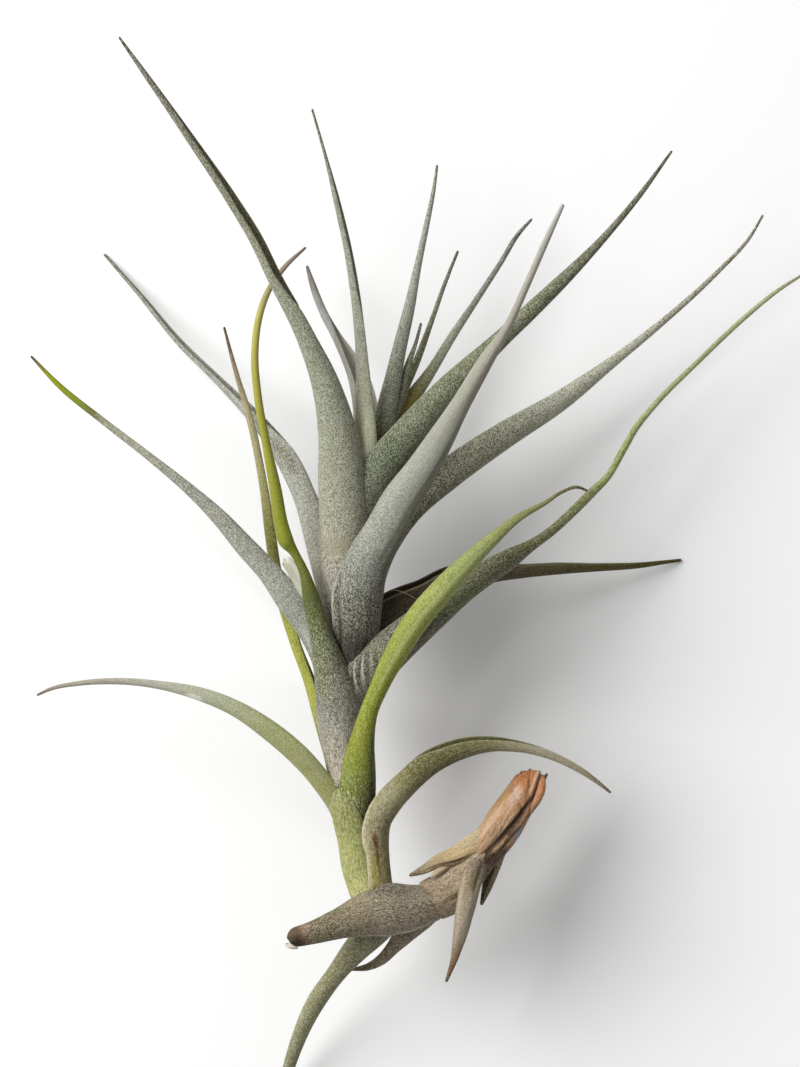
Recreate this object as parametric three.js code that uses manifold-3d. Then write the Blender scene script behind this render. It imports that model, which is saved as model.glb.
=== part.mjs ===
// A small air plant, picked and laid down: one woody stem in dry and living leaf sheaths, with about twenty
// channelled, tapering leaves, four short dead blades and one old leaf that was cut off.
// Millimetres. +X is the plant's right, +Y is up along the plant, +Z is up from the surface it lies on.
// The origin is the middle of the bottom of the plant's bounding box.
import * as THREE from 'three';
import { mergeVertices } from 'three/addons/utils/BufferGeometryUtils.js';
import Module from 'manifold-3d';

const wasm = await Module();
wasm.setup();

// Driving dimensions.
const GAP = 0.3; // clearance between neighbouring pieces
const MIDDLE_WALL = 0.85; // thickness of a leaf along its middle
const MARGIN_WALL = 0.6; // thickness of a leaf at its margins
const CORE_SHARE = 0.2; // how near a thin leaf's channel comes to its middle line, as a share of its width
const THINNEST = 0.3; // least half width, at the tips
const ARC_STEPS = 5; // facets across one face of a leaf
const SPAN_STEPS = 1.5; // rings between two points of a leaf's route
const STEM_SIDES = 12;
const VIEW_HEIGHT = 3000; // the routes are as seen from this high above the stem, where nearer looks larger
const ORIGIN_SHIFT = [-4.65, 13.71, 34.34]; // from the routes' frame, centred on the stem's middle, to the part's

// How far a leaf's section reaches round its channel, in degrees each way from the middle of its back,
// at even steps from base to tip.
const OPEN_BLADE = [105, 95, 100, 115, 140];
const OPEN_ROLLED = [105, 110, 120, 125, 140];
const OPEN_FLAT = [95, 75, 75, 90, 120];
const OPEN_TUBE = [155, 155, 155];

// A route's points are [x, y, z, half width], from the base. In its first 'clasp' points a leaf is wrapped
// round the stem: the route is the stem's axis and the half width is the sheath's radius. Beyond them both
// are those of the leaf's outline seen from above.
// 'turn' is where the leaf's back faces, in degrees from straight up towards the right of its route.
const STEM_ROUTE = [
  [33.1, -60.6, 0, 2.7], [26.3, -70.3, 0, 3.1], [18.8, -81.5, 0, 3.2], [10, -90.2, 0, 3.3], [1.3, -94, 0, 3.3],
  [-5, -92.7, 0, 3.2], [-8.7, -86.5, 0, 3.1], [-10.2, -76.5, 0, 3], [-11.2, -66.5, 0, 2.9],
  [-12.6, -54, 0, 2.8], [-13.7, -41.5, 0, 2.7], [-13.7, -29, 0, 2.5], [-12.8, -16.5, 0, 2.2],
  [-11.3, -4, 0, 1.8], [-9.2, 8, 0, 1.3], [-8, 14, 0, 0.9],
];

const LEAVES = {
  dry_sheath_end: {
    colour: 0xb98455, open: OPEN_TUBE, turn: [10, 10, 10], clasp: 5,
    route: [
      [33.1, -60, 0, 3.6], [30.9, -64.5, 0, 4.1], [27, -71, 0, 4.7], [23, -77, 0, 4.8], [19.3, -82, 0, 4.7],
    ],
  },
  spine_left: {
    colour: 0xb7936a, open: OPEN_FLAT, turn: [10, 30, 40], clasp: 1,
    route: [
      [25, -72.5, 1, 4.2], [18.9, -77.2, 1.8, 2.9], [13.8, -80.4, 2.8, 2.3], [8.8, -82.3, 3.4, 1.6],
      [5.5, -84.1, 3.5, 1.05], [2.3, -85.4, 3.4, 0.35],
    ],
  },
  spine_front: {
    colour: 0x8c8a70, open: OPEN_BLADE, turn: [0, 0, 0], clasp: 1,
    route: [
      [21, -78.5, 2, 3.6], [18.6, -84.5, 5, 2.9], [17.1, -89.8, 7, 2.6], [16.1, -94.8, 7.6, 2.3],
      [15, -100.3, 7, 1.8], [13.7, -105.8, 6, 1], [11.5, -112, 4, 0.35],
    ],
  },
  leaf_cut_stump: {
    colour: 0x7d735d, open: OPEN_BLADE, turn: [0, 0, 0], clasp: 3,
    route: [
      [8, -91.5, 1, 5.4], [2, -93.5, 1.5, 6.2], [-3.8, -93.9, 2.5, 6.6], [-9.5, -95.3, 4, 5.2],
      [-15, -97.3, 5, 3.9], [-21.3, -99.5, 5.5, 2.9], [-27, -101, 5.5, 2.1],
    ],
  },
  leaf_arched_right: {
    colour: 0x959a77, open: OPEN_BLADE, turn: [105, 95, 105, 105, 100], clasp: 4,
    route: [
      [-7.7, -88.5, 0, 5.9], [-8.4, -82, 0.5, 5.75], [-8.8, -76.5, 1.5, 6.15], [-7.8, -71.5, 3.5, 6.2],
      [-2.9, -66.8, 6, 3.6], [0.5, -62.9, 8, 3.35], [7.3, -57.3, 9, 3.15], [15.2, -53.7, 9, 2.7],
      [22.5, -52.5, 8, 2], [30, -53.2, 6.5, 1.45], [37.5, -55.3, 4.5, 1.05], [45, -59, 2, 0.8],
      [50, -62.5, 0, 0.5], [52.7, -64.7, -1, 0.3],
    ],
  },
  sheath_green: {
    colour: 0xa5aa78, open: [115, 115, 100], turn: [-45, -45, -45], clasp: 6,
    route: [
      [-7.8, -90.2, 0.5, 4.6], [-9.7, -83, 0, 4.9], [-10.7, -76.5, 0.5, 4.9], [-12, -70.3, 1, 5],
      [-12.7, -66, 1.2, 4.9], [-12.3, -62.6, 1.5, 3.1],
    ],
  },
  leaf_arched_left: {
    colour: 0xa0a57d, open: OPEN_BLADE, turn: [-60, -95, -105, -105, -100], clasp: 1,
    route: [
      [-11.7, -74, -1.5, 4], [-14.5, -68.5, -1.5, 3.2], [-19.3, -62.1, 0.5, 2.7], [-25.5, -55.1, 2.3, 2.72],
      [-33, -48.8, 3, 2.55], [-41.3, -43.5, 3, 2.1], [-50, -40, 2, 1.7], [-60, -37.8, 0.5, 1.1],
      [-70, -36.8, -1, 0.85], [-80, -37.3, -2, 0.65], [-87.5, -38.8, -3, 0.45], [-90.8, -40.3, -3, 0.3],
    ],
  },
  dry_sheath_low: {
    colour: 0xa98360, open: OPEN_TUBE, turn: [0, 0, 0], clasp: 4,
    route: [[21, -79.5, 0, 4.2], [16.5, -84.8, 0, 4.9], [12.4, -89.2, 0, 5.7], [7.3, -92, 0, 5.4]],
  },
  leaf_green_front: {
    colour: 0x8a964a, open: OPEN_BLADE, turn: [5, 5, 20, 35, 40], clasp: 2,
    route: [
      [-11, -70.3, 0, 4.6], [-10.8, -64, 2.5, 4.8], [-10.3, -57.8, 5, 4.2], [-9.5, -52, 7.5, 3.2],
      [-7.8, -44.5, 10, 2.3], [-5, -37.8, 12.5, 2.35], [-1.2, -30.2, 15, 2.9], [3, -23.2, 17, 3.15],
      [12.3, -12, 19, 2.9], [21.5, -2.8, 17, 1.9], [30, 4.3, 14, 1], [36.3, 7.8, 11, 0.6],
      [40.5, 10.5, 8.5, 0.45], [44.3, 11.7, 6.5, 0.4], [46.9, 10.8, 5, 0.3],
    ],
  },
  leaf_curled_green: {
    colour: 0x9aa046, open: OPEN_BLADE, turn: [-20, -25, -40, -40, -30], clasp: 3,
    route: [
      [-13.4, -62.7, 1, 4], [-14.5, -55.3, 1.5, 4.6], [-15, -47.8, 2, 5.6], [-15.4, -41.5, 3, 5.7],
      [-17.6, -32.8, 5, 4.15], [-20.1, -24, 6.5, 2.75], [-22.4, -16, 8, 2.05], [-24.2, -9, 8.6, 1.4],
      [-25.2, -6.5, 8.8, 1.22], [-27.1, -3.5, 9, 1.38], [-29.7, 1.5, 9.5, 1.75], [-31.5, 11, 10.5, 1.4],
      [-33.4, 22.3, 11.5, 1.1], [-35.5, 34.3, 12, 1], [-36.3, 44.7, 12, 0.95], [-35.2, 54.3, 10, 0.9],
      [-32.8, 61, 7.5, 0.8], [-28.6, 67, 5, 0.62], [-23.5, 71.7, 3, 0.3],
    ],
  },
  leaf_green_tip_left: {
    colour: 0x96a068, open: OPEN_BLADE, turn: [-35, -45, -55, -80, -100], clasp: 2,
    route: [
      [-14.4, -50.3, 0, 4.2], [-16.5, -41.5, 0.5, 4], [-18.5, -31.5, 1.5, 3.6], [-23.3, -22, 3, 3.6],
      [-28, -15.8, 3.5, 3.5], [-32.8, -9.5, 3.5, 2.9], [-38.8, -3, 3, 2.6], [-45, 4, 2.5, 2.05],
      [-52.5, 11, 1.5, 1.45], [-62.5, 19.2, 0, 1.02], [-75.1, 28.9, -2, 0.85], [-85.1, 37, -3.5, 0.7],
      [-92.3, 44.5, -4, 0.3],
    ],
  },
  leaf_thin_left: {
    colour: 0x6e6a45, open: OPEN_BLADE, turn: [-110, -105, -100, -100, -100], clasp: 2,
    route: [
      [-13.3, -60.3, 0, 4.2], [-16.1, -54, -2, 3.3], [-20, -44.5, -5, 2], [-23.1, -35.3, -8, 1.45],
      [-26, -27.8, -9, 1.35], [-28.4, -19.5, -10.2, 1.6], [-31, -9.5, -11, 1.5], [-32.2, -1.5, -11, 1.4],
      [-34.5, 14.3, -11, 1.05], [-37.8, 29.8, -10, 0.88], [-40.8, 39.8, -9, 0.62], [-44, 51.8, -8, 0.3],
    ],
  },
  leaf_long_green_right: {
    colour: 0x9ba05a, open: OPEN_BLADE, turn: [20, 40, 45, 45, 45], clasp: 2,
    route: [
      [-12.5, -42.8, 0, 4.8], [-10.8, -37.8, 1.5, 5.6], [-3.8, -30.3, 5, 5.2], [7.1, -20.9, 8, 4.2],
      [16.8, -13, 7, 3.35], [21.3, -9.9, 6, 3.1], [28, -5.8, 4.6, 2.45], [31.9, -3.4, 3.8, 1.6],
      [38.3, 1.1, 3, 1.2], [43.6, 6, 2.5, 1.2], [48.6, 11, 1.6, 1.12], [51.2, 13.5, 1.2, 0.95],
      [55.8, 21, 0.5, 0.9], [58.6, 26, 0, 0.86], [63.5, 32.1, -1, 0.75], [75, 43.6, -3.5, 0.66],
      [87.5, 55.3, -6, 0.62], [93.8, 60.4, -7, 0.52], [101.5, 65.4, -8, 0.3],
    ],
  },
  leaf_front_right: {
    colour: 0xa5a89e, open: OPEN_BLADE, turn: [5, 15, 30, 40, 40], clasp: 3,
    route: [
      [-12, -31.5, 0, 4.8], [-11, -22.8, 1, 6], [-10.5, -14, 3, 6.4], [-8.5, -6.5, 6, 6],
      [-4.5, -0.8, 10, 5.3], [0.5, 8.5, 15, 5.4], [5, 15.5, 20, 4.2], [10, 23.5, 25, 3.5],
      [15.5, 33, 30, 2.4], [21.5, 43.3, 36, 1.95], [26.3, 50.8, 41, 1.1], [31.8, 62.5, 48, 0.85],
      [36.5, 73.3, 54, 0.8], [40.8, 82.5, 59, 0.35],
    ],
  },
  leaf_back_right: {
    colour: 0x5c5638, open: OPEN_BLADE, turn: [100, 110, 110, 105, 100], clasp: 1,
    route: [
      [-12.5, -27.8, 0, 4.4], [-8, -23.5, -1.5, 5.2], [-1.3, -19.3, -3.5, 5.2], [6.3, -15.9, -6, 4.9],
      [13.8, -11.7, -8.5, 4.1], [22.5, -9.9, -12, 2.5], [30, -9.3, -15, 1.85], [40, -8.6, -19, 1.5],
      [50, -8.3, -24, 1.05], [60, -7.8, -29, 0.75], [66.5, -7, -32, 0.5], [70.3, -6.5, -34, 0.35],
    ],
  },
  leaf_tall_left: {
    colour: 0x8b8f78, open: OPEN_ROLLED, turn: [-20, -30, -50, -100, -130], clasp: 3,
    route: [
      [-13.8, -26.5, 0, 4.6], [-13.8, -16.5, 1, 5.6], [-14, -6.5, 2.5, 6], [-13.8, 3.5, 4, 6.4],
      [-14.3, 13.5, 6, 6.2], [-15.5, 24.8, 9, 5], [-18.5, 37.3, 13, 3.6], [-23.8, 49.8, 18, 2.4],
      [-31.3, 64, 24, 1.87], [-35.9, 73.5, 27.5, 1.77], [-42, 83.5, 31, 1.58], [-52.5, 99, 36, 1.15],
      [-62.5, 113.3, 40, 0.75], [-70.3, 124.3, 42, 0.3],
    ],
  },
  leaf_back_left: {
    colour: 0x83876f, open: OPEN_ROLLED, turn: [-120, -100, -95, -105, -105], clasp: 1,
    route: [
      [-13.8, -26.5, 0, 4.3], [-15.5, -16.5, -1.5, 4.6], [-18.3, -7.8, -3.5, 4], [-21, 1, -5.5, 3.4],
      [-23.5, 8.5, -8, 2.9], [-27.5, 17.3, -11, 2.8], [-35.3, 28, -16, 1.9], [-45, 38, -21, 1.15],
      [-55, 47.8, -26, 0.95], [-65, 59.8, -31, 0.65], [-74, 70, -34, 0.3],
    ],
  },
  leaf_low_right: {
    colour: 0x8f9279, open: OPEN_BLADE, turn: [110, 60, 50, 50, 50], clasp: 1,
    route: [
      [-12, -21.5, 0, 4.4], [-9.5, -12.8, -0.5, 5.2], [-5.3, -3.8, -1.5, 4.4], [1.6, 6, -3, 4],
      [12.5, 15.3, -5.5, 3.85], [25, 24, -9, 3.4], [40, 33.3, -12, 2.55], [55, 44.5, -13, 1.3],
      [65, 52.5, -13, 0.9], [80, 66.1, -12, 0.57], [87.5, 74.4, -11.3, 0.42], [90.8, 79.8, -11, 0.3],
    ],
  },
  leaf_broad_right: {
    colour: 0x92957c, open: OPEN_BLADE, turn: [60, 45, 40, 40, 40], clasp: 1,
    route: [
      [-12.5, -16.5, 0, 4.2], [-11.5, -5.3, 1, 4.6], [-9.3, 7.3, 2.5, 4.6], [-5.3, 16.5, 5, 4.2],
      [2, 25.5, 8, 3.9], [13.9, 38.1, 11, 3.2], [25.1, 48.6, 13, 2.25], [32.7, 55.8, 14, 2.05],
      [40, 62.8, 15, 1.75], [50, 73, 15, 1.02], [60, 84.8, 14, 0.68], [68, 95.8, 12, 0.3],
    ],
  },
  leaf_inner_left: {
    colour: 0x8d917b, open: OPEN_ROLLED, turn: [-30, -60, -80, -100, -115], clasp: 1,
    route: [
      [-11.5, -6.5, 1, 3.8], [-10.5, 4.8, 2.5, 4], [-9, 16, 4, 3.6], [-8.8, 26, 5.5, 2.9],
      [-9, 34.8, 6.5, 2.1], [-9.8, 47.3, 8, 1.45], [-11, 58.5, 9, 1.25], [-13, 71, 10, 1.05],
      [-15.8, 83.3, 11, 0.85], [-18.5, 94, 11, 0.45], [-22, 106.3, 11, 0.3],
    ],
  },
  leaf_inner_back_left: {
    colour: 0x6f7060, open: OPEN_BLADE, turn: [-140, -135, -130, -130, -120], clasp: 1,
    route: [
      [-11, -1.5, -1, 3.4], [-9.3, 11, -2.5, 3.8], [-8, 23.5, -4, 3.6], [-8.6, 31.5, -6, 3.2],
      [-10.2, 38.5, -9, 2.7], [-12.7, 44, -11.5, 2], [-15.9, 49.5, -14, 1.25], [-19.2, 55.5, -16.5, 0.8],
      [-21.9, 61.5, -18.5, 0.5], [-23.3, 67.1, -20, 0.3],
    ],
  },
  leaf_centre: {
    colour: 0x949782, open: OPEN_BLADE, turn: [30, 30, 30, 30, 30], clasp: 1,
    route: [
      [-9.5, 6, 0.5, 3], [-7.3, 17.3, 0.5, 3.2], [-4.5, 27.3, 0.5, 2.7], [-2.4, 36, 0, 2.2],
      [-0.2, 46, -0.5, 1.8], [2.3, 56.5, -1.5, 1.42], [4.5, 67.3, -2.5, 0.95], [6.8, 78, -3.5, 0.72],
      [8.5, 86.5, -4.5, 0.48], [9.3, 92.3, -5, 0.3],
    ],
  },
  leaf_inner_right: {
    colour: 0x8b8a5d, open: OPEN_BLADE, turn: [120, 80, 60, 60, 60], clasp: 1,
    route: [
      [-9, 6, -1, 3.4], [-6, 16.5, -3, 3.4], [-1.8, 25.5, -5, 2.8], [2.8, 33.5, -7, 2],
      [7.8, 40.8, -9.5, 1.35], [13, 49.3, -12, 1.1], [19.1, 58.5, -15, 0.8], [25.4, 68.2, -18, 0.55],
      [29.5, 74.9, -20, 0.45], [33, 78.8, -21, 0.3],
    ],
  },
  leaf_heart: {
    colour: 0x93967e, open: OPEN_BLADE, turn: [110, 80, 60, 50, 50], clasp: 1,
    route: [
      [-8.5, 8.5, -1.5, 2.6], [-5.8, 18.5, -2.5, 2.6], [-2.3, 27.3, -3.5, 2], [1, 36, -4.5, 1.2],
      [4.3, 43.5, -6, 0.95], [7.8, 53, -7.5, 0.65], [11.3, 62.8, -9, 0.5], [14.5, 70.8, -10, 0.35],
    ],
  },
  leaf_heart_small: {
    colour: 0x9a9d80, open: OPEN_BLADE, turn: [40, 40, 40], clasp: 1,
    route: [
      [-7.3, 13.5, -0.5, 1.8], [-3.8, 24.8, -1, 1.6], [-0.3, 34, -1.5, 1.15], [2, 42.3, -2, 0.85],
      [3.8, 47.3, -2.5, 0.5], [5.3, 52.8, -3, 0.35],
    ],
  },
  leaf_torn_left: {
    colour: 0xb3a88c, open: OPEN_FLAT, turn: [-60, -60, -60], clasp: 0,
    route: [
      [-19.5, -30.3, 3.5, 1.6], [-23.5, -15.8, 5.5, 1.2], [-24.8, -12.5, 6, 1.2], [-26, -9.5, 6.3, 1.3],
      [-27.5, -7, 6.5, 1.1], [-28.8, -5.6, 6.5, 0.7],
    ],
  },
  leaf_bottom: {
    colour: 0x8c9173, open: OPEN_BLADE, turn: [20, 10, 0, 0, 0], clasp: 1,
    route: [
      [-2, -94.5, -1, 4], [-6.5, -99, -3, 4], [-11, -103.8, -6, 3.3], [-15.5, -109.3, -10, 2.5],
      [-21, -117, -15.5, 2.35], [-25.5, -126.5, -22, 1.85], [-27.8, -133.3, -26, 1.5],
      [-29.8, -140.8, -30.5, 1], [-30.8, -148.3, -34, 0.4],
    ],
  },
  spine_back_low: {
    colour: 0x4b4032, open: OPEN_BLADE, turn: [-100, -80, -60], clasp: 1,
    route: [
      [8, -92.8, -1.5, 3.8], [3, -97.8, -4.5, 3], [-0.5, -102, -7.5, 2], [-4.6, -106.3, -10, 1.35],
      [-8, -108.2, -12, 0.95], [-12.3, -108.9, -13, 0.35],
    ],
  },
  spine_back_right: {
    colour: 0x5a4634, open: OPEN_BLADE, turn: [-140, -140, -140], clasp: 1,
    route: [
      [25, -73.5, -1, 4], [24, -79, -3.5, 2.7], [22.8, -84.5, -5, 1.8], [21.5, -89, -6, 1.1],
      [20.3, -92.8, -6.5, 0.35],
    ],
  },
};

// A point of a route at 'place', counted in route points from 0, on a smooth curve through all of them.
// Each point's slope weighs the two spans beside it by their lengths, so uneven spans don't overshoot.
function routePoint(route, place) {
  const last = route.length - 1;
  const i = Math.min(Math.floor(place), last - 1);
  const t = place - i;
  const span = (k) => Math.hypot(...[0, 1, 2].map((c) => route[k + 1][c] - route[k][c]));
  const slope = (k, c) => {
    const rise = (j) => (route[j + 1][c] - route[j][c]) / span(j);
    if (k === 0) return rise(0);
    if (k === last) return rise(last - 1);
    return (rise(k - 1) * span(k) + rise(k) * span(k - 1)) / (span(k - 1) + span(k));
  };
  const [x, y, z, halfWidth] = route[i].map((value, c) => (
    value * (1 + 2 * t) * (1 - t) ** 2
    + slope(i, c) * span(i) * t * (1 - t) ** 2
    + route[i + 1][c] * (3 - 2 * t) * t ** 2
    - slope(i + 1, c) * span(i) * (1 - t) * t ** 2
  ));
  const nearer = 1 - z / VIEW_HEIGHT;
  return [x * nearer, y * nearer, z, halfWidth * nearer];
}

// A value at a share of a leaf's length, from a list of values at even steps from base to tip.
function alongLeaf(values, share) {
  const place = share * (values.length - 1);
  const i = Math.min(Math.floor(place), values.length - 2);
  return THREE.MathUtils.lerp(values[i], values[i + 1], place - i);
}

// A route's point with its tangent, the direction to its right and the one up from it.
function routeFrame(route, share) {
  const last = route.length - 1;
  const place = share * last;
  const step = 0.02;
  const [x, y, z, halfWidth] = routePoint(route, place);
  const ahead = routePoint(route, Math.min(place + step, last));
  const behind = routePoint(route, Math.max(place - step, 0));
  const tangent = new THREE.Vector3(...[0, 1, 2].map((c) => ahead[c] - behind[c])).normalize();
  const right = new THREE.Vector3().crossVectors(tangent, new THREE.Vector3(0, 0, 1)).normalize();
  const up = new THREE.Vector3().crossVectors(right, tangent);
  return { centre: new THREE.Vector3(x, y, z), halfWidth: Math.max(halfWidth, THINNEST), tangent, right, up };
}

// How far an arc of radius 1 reaches to the left and to the right, seen from above.
function arcOutline(turn, reach) {
  const low = turn - reach;
  const high = turn + reach;
  const covers = (angle) => [angle - 360, angle, angle + 360].some((a) => low <= a && a <= high);
  const ends = [low, high].map((angle) => Math.sin(THREE.MathUtils.degToRad(angle)));
  return { left: covers(-90) ? -1 : Math.min(...ends), right: covers(90) ? 1 : Math.max(...ends) };
}

// The outer and inner points of a leaf's section: a crescent round the channel, grown all round by 'grow'.
function leafSection(leaf, share, grow) {
  const { centre, halfWidth, tangent, right, up } = routeFrame(leaf.route, share);
  const turn = alongLeaf(leaf.turn, share);
  const reach = alongLeaf(leaf.open, share);
  const outline = arcOutline(turn, reach);
  const place = share * (leaf.route.length - 1);
  const free = THREE.MathUtils.smoothstep(place, leaf.clasp - 1, leaf.clasp + 0.5);
  const radius = THREE.MathUtils.lerp(halfWidth, (2 * halfWidth) / (outline.right - outline.left), free);
  const hub = centre.clone().addScaledVector(right, (-free * radius * (outline.right + outline.left)) / 2);
  if (share === 0) hub.addScaledVector(tangent, -grow);
  if (share === 1) hub.addScaledVector(tangent, grow);
  const growTurn = THREE.MathUtils.radToDeg(grow / radius);
  const outer = [];
  const inner = [];
  for (let k = 0; k <= ARC_STEPS; k += 1) {
    const across = (2 * k) / ARC_STEPS - 1;
    const angle = THREE.MathUtils.degToRad(turn + across * (reach + growTurn));
    const wall = MARGIN_WALL + (MIDDLE_WALL - MARGIN_WALL) * Math.cos((across * Math.PI) / 2);
    const innerRadius = Math.max(radius - wall - grow, radius * CORE_SHARE - grow / 2, 0.05);
    const ray = up.clone().multiplyScalar(Math.cos(angle)).addScaledVector(right, Math.sin(angle));
    outer.push(hub.clone().addScaledVector(ray, radius + grow));
    inner.push(hub.clone().addScaledVector(ray, innerRadius));
  }
  return { outer, inner };
}

// A leaf as a closed solid. Both faces are split into triangles alike, so they can't cross.
function leafSolid(leaf, grow = 0) {
  const rings = Math.round((leaf.route.length - 1) * SPAN_STEPS);
  const rowLength = ARC_STEPS + 1;
  const points = [];
  for (let i = 0; i <= rings; i += 1) {
    const { outer, inner } = leafSection(leaf, i / rings, grow);
    points.push(...outer, ...inner);
  }
  const outerAt = (i, k) => i * 2 * rowLength + k;
  const innerAt = (i, k) => outerAt(i, k) + rowLength;
  const faces = [];
  const quad = (a, b, c, d) => faces.push([a, b, c], [a, c, d]);
  for (let i = 0; i < rings; i += 1) {
    for (let k = 0; k < ARC_STEPS; k += 1) {
      quad(outerAt(i, k), outerAt(i, k + 1), outerAt(i + 1, k + 1), outerAt(i + 1, k));
      faces.push([innerAt(i, k), innerAt(i + 1, k + 1), innerAt(i, k + 1)]);
      faces.push([innerAt(i, k), innerAt(i + 1, k), innerAt(i + 1, k + 1)]);
    }
    const edge = ARC_STEPS;
    quad(outerAt(i, 0), outerAt(i + 1, 0), innerAt(i + 1, 0), innerAt(i, 0));
    quad(outerAt(i, edge), innerAt(i, edge), innerAt(i + 1, edge), outerAt(i + 1, edge));
  }
  for (let k = 0; k < ARC_STEPS; k += 1) {
    quad(outerAt(0, k), innerAt(0, k), innerAt(0, k + 1), outerAt(0, k + 1));
    quad(outerAt(rings, k), outerAt(rings, k + 1), innerAt(rings, k + 1), innerAt(rings, k));
  }
  return solidFrom(points, faces);
}

// The stem: a round rod whose radius follows its route.
function stemSolid(grow = 0) {
  const rings = Math.round((STEM_ROUTE.length - 1) * SPAN_STEPS);
  const points = [];
  for (let i = 0; i <= rings; i += 1) {
    const { centre, halfWidth, right, up } = routeFrame(STEM_ROUTE, i / rings);
    for (let k = 0; k < STEM_SIDES; k += 1) {
      const angle = (k / STEM_SIDES) * 2 * Math.PI;
      const ray = up.clone().multiplyScalar(Math.cos(angle)).addScaledVector(right, Math.sin(angle));
      points.push(centre.clone().addScaledVector(ray, halfWidth + grow));
    }
  }
  const at = (i, k) => i * STEM_SIDES + (k % STEM_SIDES);
  const faces = [];
  for (let k = 0; k < STEM_SIDES; k += 1) {
    for (let i = 0; i < rings; i += 1) {
      faces.push([at(i, k), at(i, k + 1), at(i + 1, k + 1)], [at(i, k), at(i + 1, k + 1), at(i + 1, k)]);
    }
    if (k > 0 && k < STEM_SIDES - 1) {
      faces.push([at(0, 0), at(0, k + 1), at(0, k)], [at(rings, 0), at(rings, k), at(rings, k + 1)]);
    }
  }
  return solidFrom(points, faces);
}

// A closed solid from its corner points and triangles.
function solidFrom(points, faces) {
  const geometry = new THREE.BufferGeometry().setFromPoints(points);
  geometry.setIndex(faces.flat());
  const merged = mergeVertices(geometry, 1e-4);
  return new wasm.Manifold(new wasm.Mesh({
    numProp: 3,
    vertProperties: new Float32Array(merged.getAttribute('position').array),
    triVerts: new Uint32Array(merged.getIndex().array),
  }));
}

// A solid as a named mesh with its own matt material.
function meshFrom(name, solid, colour) {
  const { vertProperties, triVerts } = solid.getMesh();
  const geometry = new THREE.BufferGeometry();
  geometry.setAttribute('position', new THREE.BufferAttribute(vertProperties, 3));
  geometry.setIndex(new THREE.BufferAttribute(triVerts, 1));
  geometry.computeVertexNormals();
  const material = new THREE.MeshStandardMaterial({ color: colour, roughness: 0.85, metalness: 0 });
  const mesh = new THREE.Mesh(geometry, material);
  mesh.name = name;
  return mesh;
}

// The largest piece of a solid that cutting may have left in several.
function largestPiece(solid) {
  return solid.decompose().reduce((best, piece) => (piece.volume() > best.volume() ? piece : best));
}

const group = new THREE.Group();
const stem = stemSolid();
group.add(meshFrom('stem', stem, 0x7a6248));

// Each leaf gives way to the stem and to the leaves listed before it, which lie outside or in front of it.
const keptClear = [stemSolid(GAP)];
for (const [name, leaf] of Object.entries(LEAVES)) {
  let solid = leafSolid(leaf);
  for (const other of keptClear) solid = solid.subtract(other);
  solid = largestPiece(largestPiece(solid).simplify(0.02));
  group.add(meshFrom(name, solid, leaf.colour));
  keptClear.push(leafSolid(leaf, GAP));
}
group.position.set(...ORIGIN_SHIFT);

export default group;
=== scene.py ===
# The look of a small air plant, picked and laid down: scurfy, channelled leaves that taper to fine tips,
# on a bent stem in dry and living sheaths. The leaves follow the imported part's routes, which are in
# millimetres, with finer sections, thin margins and creases. The camera looks straight down, as the photo
# does at the upright plant.
import math

import bmesh
import bpy
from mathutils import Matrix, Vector, noise


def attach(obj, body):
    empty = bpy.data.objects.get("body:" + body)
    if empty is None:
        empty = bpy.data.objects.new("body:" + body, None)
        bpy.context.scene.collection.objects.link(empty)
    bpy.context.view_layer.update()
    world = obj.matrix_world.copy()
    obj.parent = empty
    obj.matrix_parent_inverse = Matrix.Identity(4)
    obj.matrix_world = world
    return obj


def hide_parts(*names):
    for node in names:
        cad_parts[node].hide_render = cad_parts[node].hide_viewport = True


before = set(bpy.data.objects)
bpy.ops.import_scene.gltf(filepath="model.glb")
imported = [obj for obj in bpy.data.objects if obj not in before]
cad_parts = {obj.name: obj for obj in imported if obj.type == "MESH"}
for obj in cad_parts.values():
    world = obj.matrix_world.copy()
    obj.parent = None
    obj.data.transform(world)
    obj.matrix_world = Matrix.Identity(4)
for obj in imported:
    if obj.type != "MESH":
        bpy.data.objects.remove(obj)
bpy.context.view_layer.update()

# Driving dimensions, in millimetres where nothing else is said.
MM = 0.001
MIDDLE_WALL = 0.85
MARGIN_WALL = 0.22
THINNEST_LEAF = 0.1
THINNEST_CHANNEL = 0.03
CORE_SHARE = 0.2  # the least that a channel's radius is of its leaf's
MARGIN_REACH = 1.01  # how far the rounded margins stand out, across a leaf that ends at 1
TIP_SHARE = 0.003  # the square of what the tip keeps of its half width
FOLD_FADE = 0.6  # how softly a fold begins and ends
TEAR_BROAD = 1.4  # how close a torn rim's broad teeth stand
TEAR_FINE = 6  # and its fine ones
TEAR_FINE_SHARE = 0.45
CLASP_FADE = (-1, 0.5)  # route points from the clasp's place, from a clasping base to a free leaf
ROUTE_STEP = 0.02  # route points
END_RINGS = 5
STEM_SIDES = 32
STEM_RINGS = 12
BARK_HEIGHT = 0.15
BARK_ALONG = 0.4
BARK_ROUND = 2
ORIGIN_SHIFT = Vector((-4.65, 13.71, 34.34))

# The camera, in millimetres.
VIEW_HEIGHT = 3000
CAMERA_COVER = 266.75
CAMERA_SENSOR = 24
HALF_PIXEL = 0.125

# The light and the floor, in metres and watts.
KEY_PLACE = (-1.2, 0.6, 1.25)
KEY_SIZE = 1.3
KEY_POWER = 44
WORLD_STRENGTH = 0.3
FLOOR_HALF = 8
FLOOR_HEIGHT = -0.02 * MM
FLOOR_COLOUR = (0.94, 0.94, 0.94, 1)
FLOOR_ROUGHNESS = 0.9

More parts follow.
